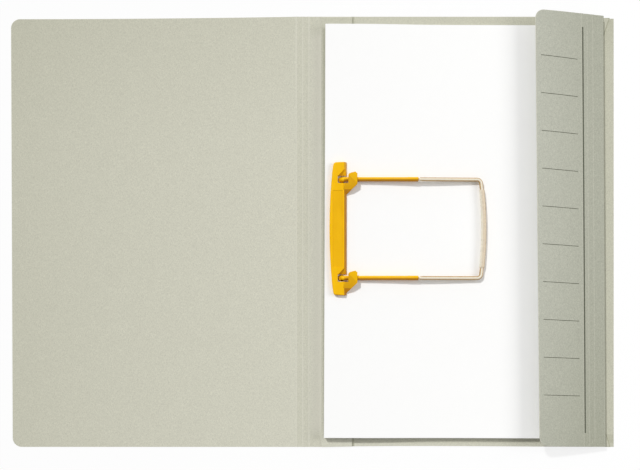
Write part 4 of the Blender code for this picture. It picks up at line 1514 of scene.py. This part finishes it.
class FOLDER_OT_bail(bpy.types.Operator):
    """Make the U-shaped bail, a rod with a thick grip and two pins that slide in the tubes"""

    bl_idname = "flap_folder.bail"
    bl_label = "Bail"

    def execute(self, context):
        clip = context.scene.flap_folder.clip
        low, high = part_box("bail")
        rows = tube_rows()
        self.middle = Vector((0.0, (rows[0] + rows[1]) / 2, (low.z + high.z) / 2))
        half = (rows[0] - rows[1]) / 2
        shoulder = low.x + clip.pin_length
        crossbar = high.x - clip.bail_bow - clip.grip / 2
        bm = self.rod(clip, low.x, shoulder, crossbar, half)
        bail = piece_from(bm, "clip_bail", "bail_plastic")
        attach(bail, "bail")
        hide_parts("bail")
        return {"FINISHED"}

    def stations(self, clip, tip, shoulder, crossbar, half):
        """Places along half the rod: X, Y, heading, thickness against the leg's, evenness of its flanks."""
        pin = clip.pin / clip.rod
        thick = clip.grip / clip.rod
        straight = half - clip.bail_corner
        route = [
            (tip, half, 0.0, pin * PIN_TIP_SHARE, 0.0),
            (tip + clip.pin_point, half, 0.0, pin, 0.0),
            (shoulder - clip.pin_root, half, 0.0, pin, 0.0),
            (shoulder, half, 0.0, pin * SHOULDER_SHARE, 0.0),
            (shoulder + clip.taper, half, 0.0, 1.0, TAPER_EVEN),
            (shoulder + 2 * clip.taper, half, 0.0, 1.0, 1.0),
        ]
        for step in range(FOLD_STEPS + 1):
            turn = math.pi / 2 * step / FOLD_STEPS
            x = crossbar - clip.bail_corner * (1 - math.sin(turn))
            y = straight + clip.bail_corner * math.cos(turn)
            route.append((x, y, turn, 1.0, 1.0))
        grip = clip.grip_length / 2
        places = [(grip + gap, 1.0 + swell * (thick - 1), even) for gap, swell, even in GRIP_NECK]
        places += [(grip * (1 - step / CREASE_STEPS), thick, 0.0) for step in range(CREASE_STEPS + 1)]
        for y, share, even in places:
            bow = clip.bail_bow * (1 - (y / straight) ** 2)
            lean = math.atan(2 * clip.bail_bow * y / straight**2)
            route.append((crossbar + bow, y, math.pi / 2 - lean, share, even))
        return route

    def rod(self, clip, tip, shoulder, crossbar, half):
        """Half the rod, swept from its pin to the middle of the crossbar, and its mirror image."""
        bm = bmesh.new()
        depth = bm.verts.layers.float.new("depth")
        order = bm.verts.layers.int.new("order")
        ring = bmesh.ops.create_circle(bm, cap_ends=True, segments=ROUND_SIDES, radius=clip.rod / 2)["verts"]
        shape = []
        for index, vertex in enumerate(ring):
            vertex[order] = index
            # Painted shade: tan on the rod's flanks and on the grip's outer side
            side = 2 * vertex.co.x / clip.rod
            both = clamped((abs(side) - FLANK_START) / FLANK_WIDTH)
            outer = GRIP_SHADE * clamped((side - GRIP_START) / GRIP_WIDTH)
            outer += GRIP_OUTER_SHADE * max(side, 0.0)
            shape.append((vertex.co.x, vertex.co.y, both, outer))
        ends = bm.faces[:]
        for index, (x, y, turn, share, even) in enumerate(self.stations(clip, tip, shoulder, crossbar, half)):
            if index:
                pulled = bmesh.ops.extrude_face_region(bm, geom=ends)["geom"]
                ring = picked(pulled, bmesh.types.BMVert)
                ends = picked(pulled, bmesh.types.BMFace)
            outward = Vector((math.sin(turn), math.cos(turn), 0.0))
            fall = clip.droop * clamped((x - shoulder) / (crossbar - shoulder))
            for vertex in ring:
                across, rise, both, outer = shape[vertex[order]]
                vertex[depth] = both * even + outer * (1 - even)
                vertex.co = self.middle + Vector((x, y, rise * share - fall)) + outward * across * share
        bmesh.ops.delete(bm, geom=ends, context="FACES_ONLY")
        half_rod = bm.verts[:] + bm.edges[:] + bm.faces[:]
        mirror = Matrix.Translation((0.0, -self.middle.y, 0.0))
        bmesh.ops.mirror(bm, geom=half_rod, matrix=mirror, axis="Y", merge_dist=SEAM)
        bmesh.ops.recalc_face_normals(bm, faces=bm.faces)
        return bm


class FOLDER_OT_stage(bpy.types.Operator):
    """Make the floor, the lights and the camera"""

    bl_idname = "flap_folder.stage"
    bl_label = "Floor, light and camera"

    def execute(self, context):
        stage = context.scene.flap_folder.stage
        self.make_floor(stage)
        self.make_world(context, stage)
        self.make_lights(context, stage)
        self.make_camera(context, stage)
        context.scene.view_settings.view_transform = "Standard"
        return {"FINISHED"}

    def make_floor(self, stage):
        """A pale floor that keeps the shadow, and looks white to the camera."""
        bm = bmesh.new()
        place = Matrix.Translation((0.0, 0.0, -stage.floor_drop))
        bmesh.ops.create_grid(bm, x_segments=2, y_segments=2, size=stage.floor_size, matrix=place)
        mesh = bpy.data.meshes.new("floor")
        bm.to_mesh(mesh)
        bm.free()
        finish = Finish("floor", 0.95, 0.0)
        finish.shader.inputs["Base Color"].default_value = (*[stage.floor_tone] * 3, 1.0)
        light = finish.add("ShaderNodeEmission")
        light.inputs["Color"].default_value = (1.0, 1.0, 1.0, 1.0)
        rays = finish.add("ShaderNodeLightPath")
        seen = finish.plus(rays.outputs["Is Camera Ray"], rays.outputs["Is Glossy Ray"])
        seen = finish.plus(seen, rays.outputs["Is Transmission Ray"])
        share = finish.spread(seen, 0.0, stage.floor_glow, 0.0, 1.0)
        mix = finish.add("ShaderNodeMixShader")
        finish.join(share, mix.inputs[0])
        finish.join(finish.shader.outputs[0], mix.inputs[1])
        finish.join(light.outputs[0], mix.inputs[2])
        finish.join(mix.outputs[0], finish.tree.nodes["Material Output"].inputs["Surface"])
        mesh.materials.append(finish.material)
        floor = bpy.data.objects.new("floor", mesh)
        bpy.context.scene.collection.objects.link(floor)

    def make_world(self, context, stage):
        """Even light from all round, with white behind the folder."""
        world = bpy.data.worlds.new("studio")
        world.use_nodes = True
        tree = world.node_tree
        sky = tree.nodes["Background"]
        sky.inputs["Color"].default_value = (1.0, 1.0, 1.0, 1.0)
        sky.inputs["Strength"].default_value = stage.sky
        plain = tree.nodes.new("ShaderNodeBackground")
        plain.inputs["Color"].default_value = (1.0, 1.0, 1.0, 1.0)
        rays = tree.nodes.new("ShaderNodeLightPath")
        mix = tree.nodes.new("ShaderNodeMixShader")
        seen = rays.outputs["Is Camera Ray"]
        for kind in ("Is Glossy Ray", "Is Transmission Ray"):
            total = tree.nodes.new("ShaderNodeMath")
            tree.links.new(seen, total.inputs[0])
            tree.links.new(rays.outputs[kind], total.inputs[1])
            seen = total.outputs[0]
        tree.links.new(seen, mix.inputs[0])
        tree.links.new(sky.outputs[0], mix.inputs[1])
        tree.links.new(plain.outputs[0], mix.inputs[2])
        tree.links.new(mix.outputs[0], tree.nodes["World Output"].inputs["Surface"])
        context.scene.world = world

    def make_lights(self, context, stage):
        """A key light from the upper left and a low one on the right."""
        key = bpy.data.lights.new("key", "SUN")
        key.energy = stage.key
        key.angle = stage.key_spread
        turned = Matrix.Rotation(stage.key_turn, 3, "Z") @ Matrix.Rotation(stage.key_rise, 3, "X")
        towards = turned @ Vector((0.0, 1.0, 0.0))
        self.hang(context, key, towards, Vector())
        side = bpy.data.lights.new("side", "AREA")
        side.energy = stage.side
        side.size = stage.side_size
        self.hang(context, side, Vector(stage.side_place), Vector(stage.side_aim))

    def hang(self, context, light, place, aim):
        """Puts a light in its place, turned towards what it lights."""
        lamp = bpy.data.objects.new(light.name, light)
        lamp.location = place
        lamp.rotation_euler = (aim - place).to_track_quat("-Z", "Y").to_euler()
        context.scene.collection.objects.link(lamp)

    def make_camera(self, context, stage):
        """A camera that looks straight down, with its picture shifted up the page."""
        camera = bpy.data.cameras.new("camera")
        camera.sensor_width = SENSOR
        camera.lens = SENSOR * stage.height / stage.view_width
        camera.shift_y = (stage.view_y - stage.lens_y) / stage.view_width
        holder = bpy.data.objects.new("camera", camera)
        holder.location = (stage.view_x, stage.lens_y, stage.height)
        context.scene.collection.objects.link(holder)
        context.scene.camera = holder


OPERATORS = (
    FOLDER_OT_covers,
    FOLDER_OT_mounting_strip,
    FOLDER_OT_flap,
    FOLDER_OT_sheets,
    FOLDER_OT_bar,
    FOLDER_OT_hooks,
    FOLDER_OT_tubes,
    FOLDER_OT_bail,
    FOLDER_OT_stage,
)


class FOLDER_PT_dressing(bpy.types.Panel):
    """Buttons for each step of the dressing"""

    bl_idname = "FOLDER_PT_dressing"
    bl_label = "Flap folder"
    bl_space_type = "VIEW_3D"
    bl_region_type = "UI"
    bl_category = "Folder"

    def draw(self, context):
        for operator in OPERATORS:
            self.layout.operator(operator.bl_idname)


SETTINGS = (CardSettings, SheetSettings, ClipSettings, StageSettings, FolderSettings)
CLASSES = (*SETTINGS, *OPERATORS, FOLDER_PT_dressing)


def register():
    for item in CLASSES:
        bpy.utils.register_class(item)
    bpy.types.Scene.flap_folder = PointerProperty(type=FolderSettings)


def unregister():
    del bpy.types.Scene.flap_folder
    for item in reversed(CLASSES):
        bpy.utils.unregister_class(item)


def main():
    register()
    bpy.ops.flap_folder.covers()
    bpy.ops.flap_folder.mounting_strip()
    bpy.ops.flap_folder.flap()
    bpy.ops.flap_folder.sheets()
    bpy.ops.flap_folder.bar()
    bpy.ops.flap_folder.hooks()
    bpy.ops.flap_folder.tubes()
    bpy.ops.flap_folder.bail()
    bpy.ops.flap_folder.stage()


if __name__ == "__main__":
    main()
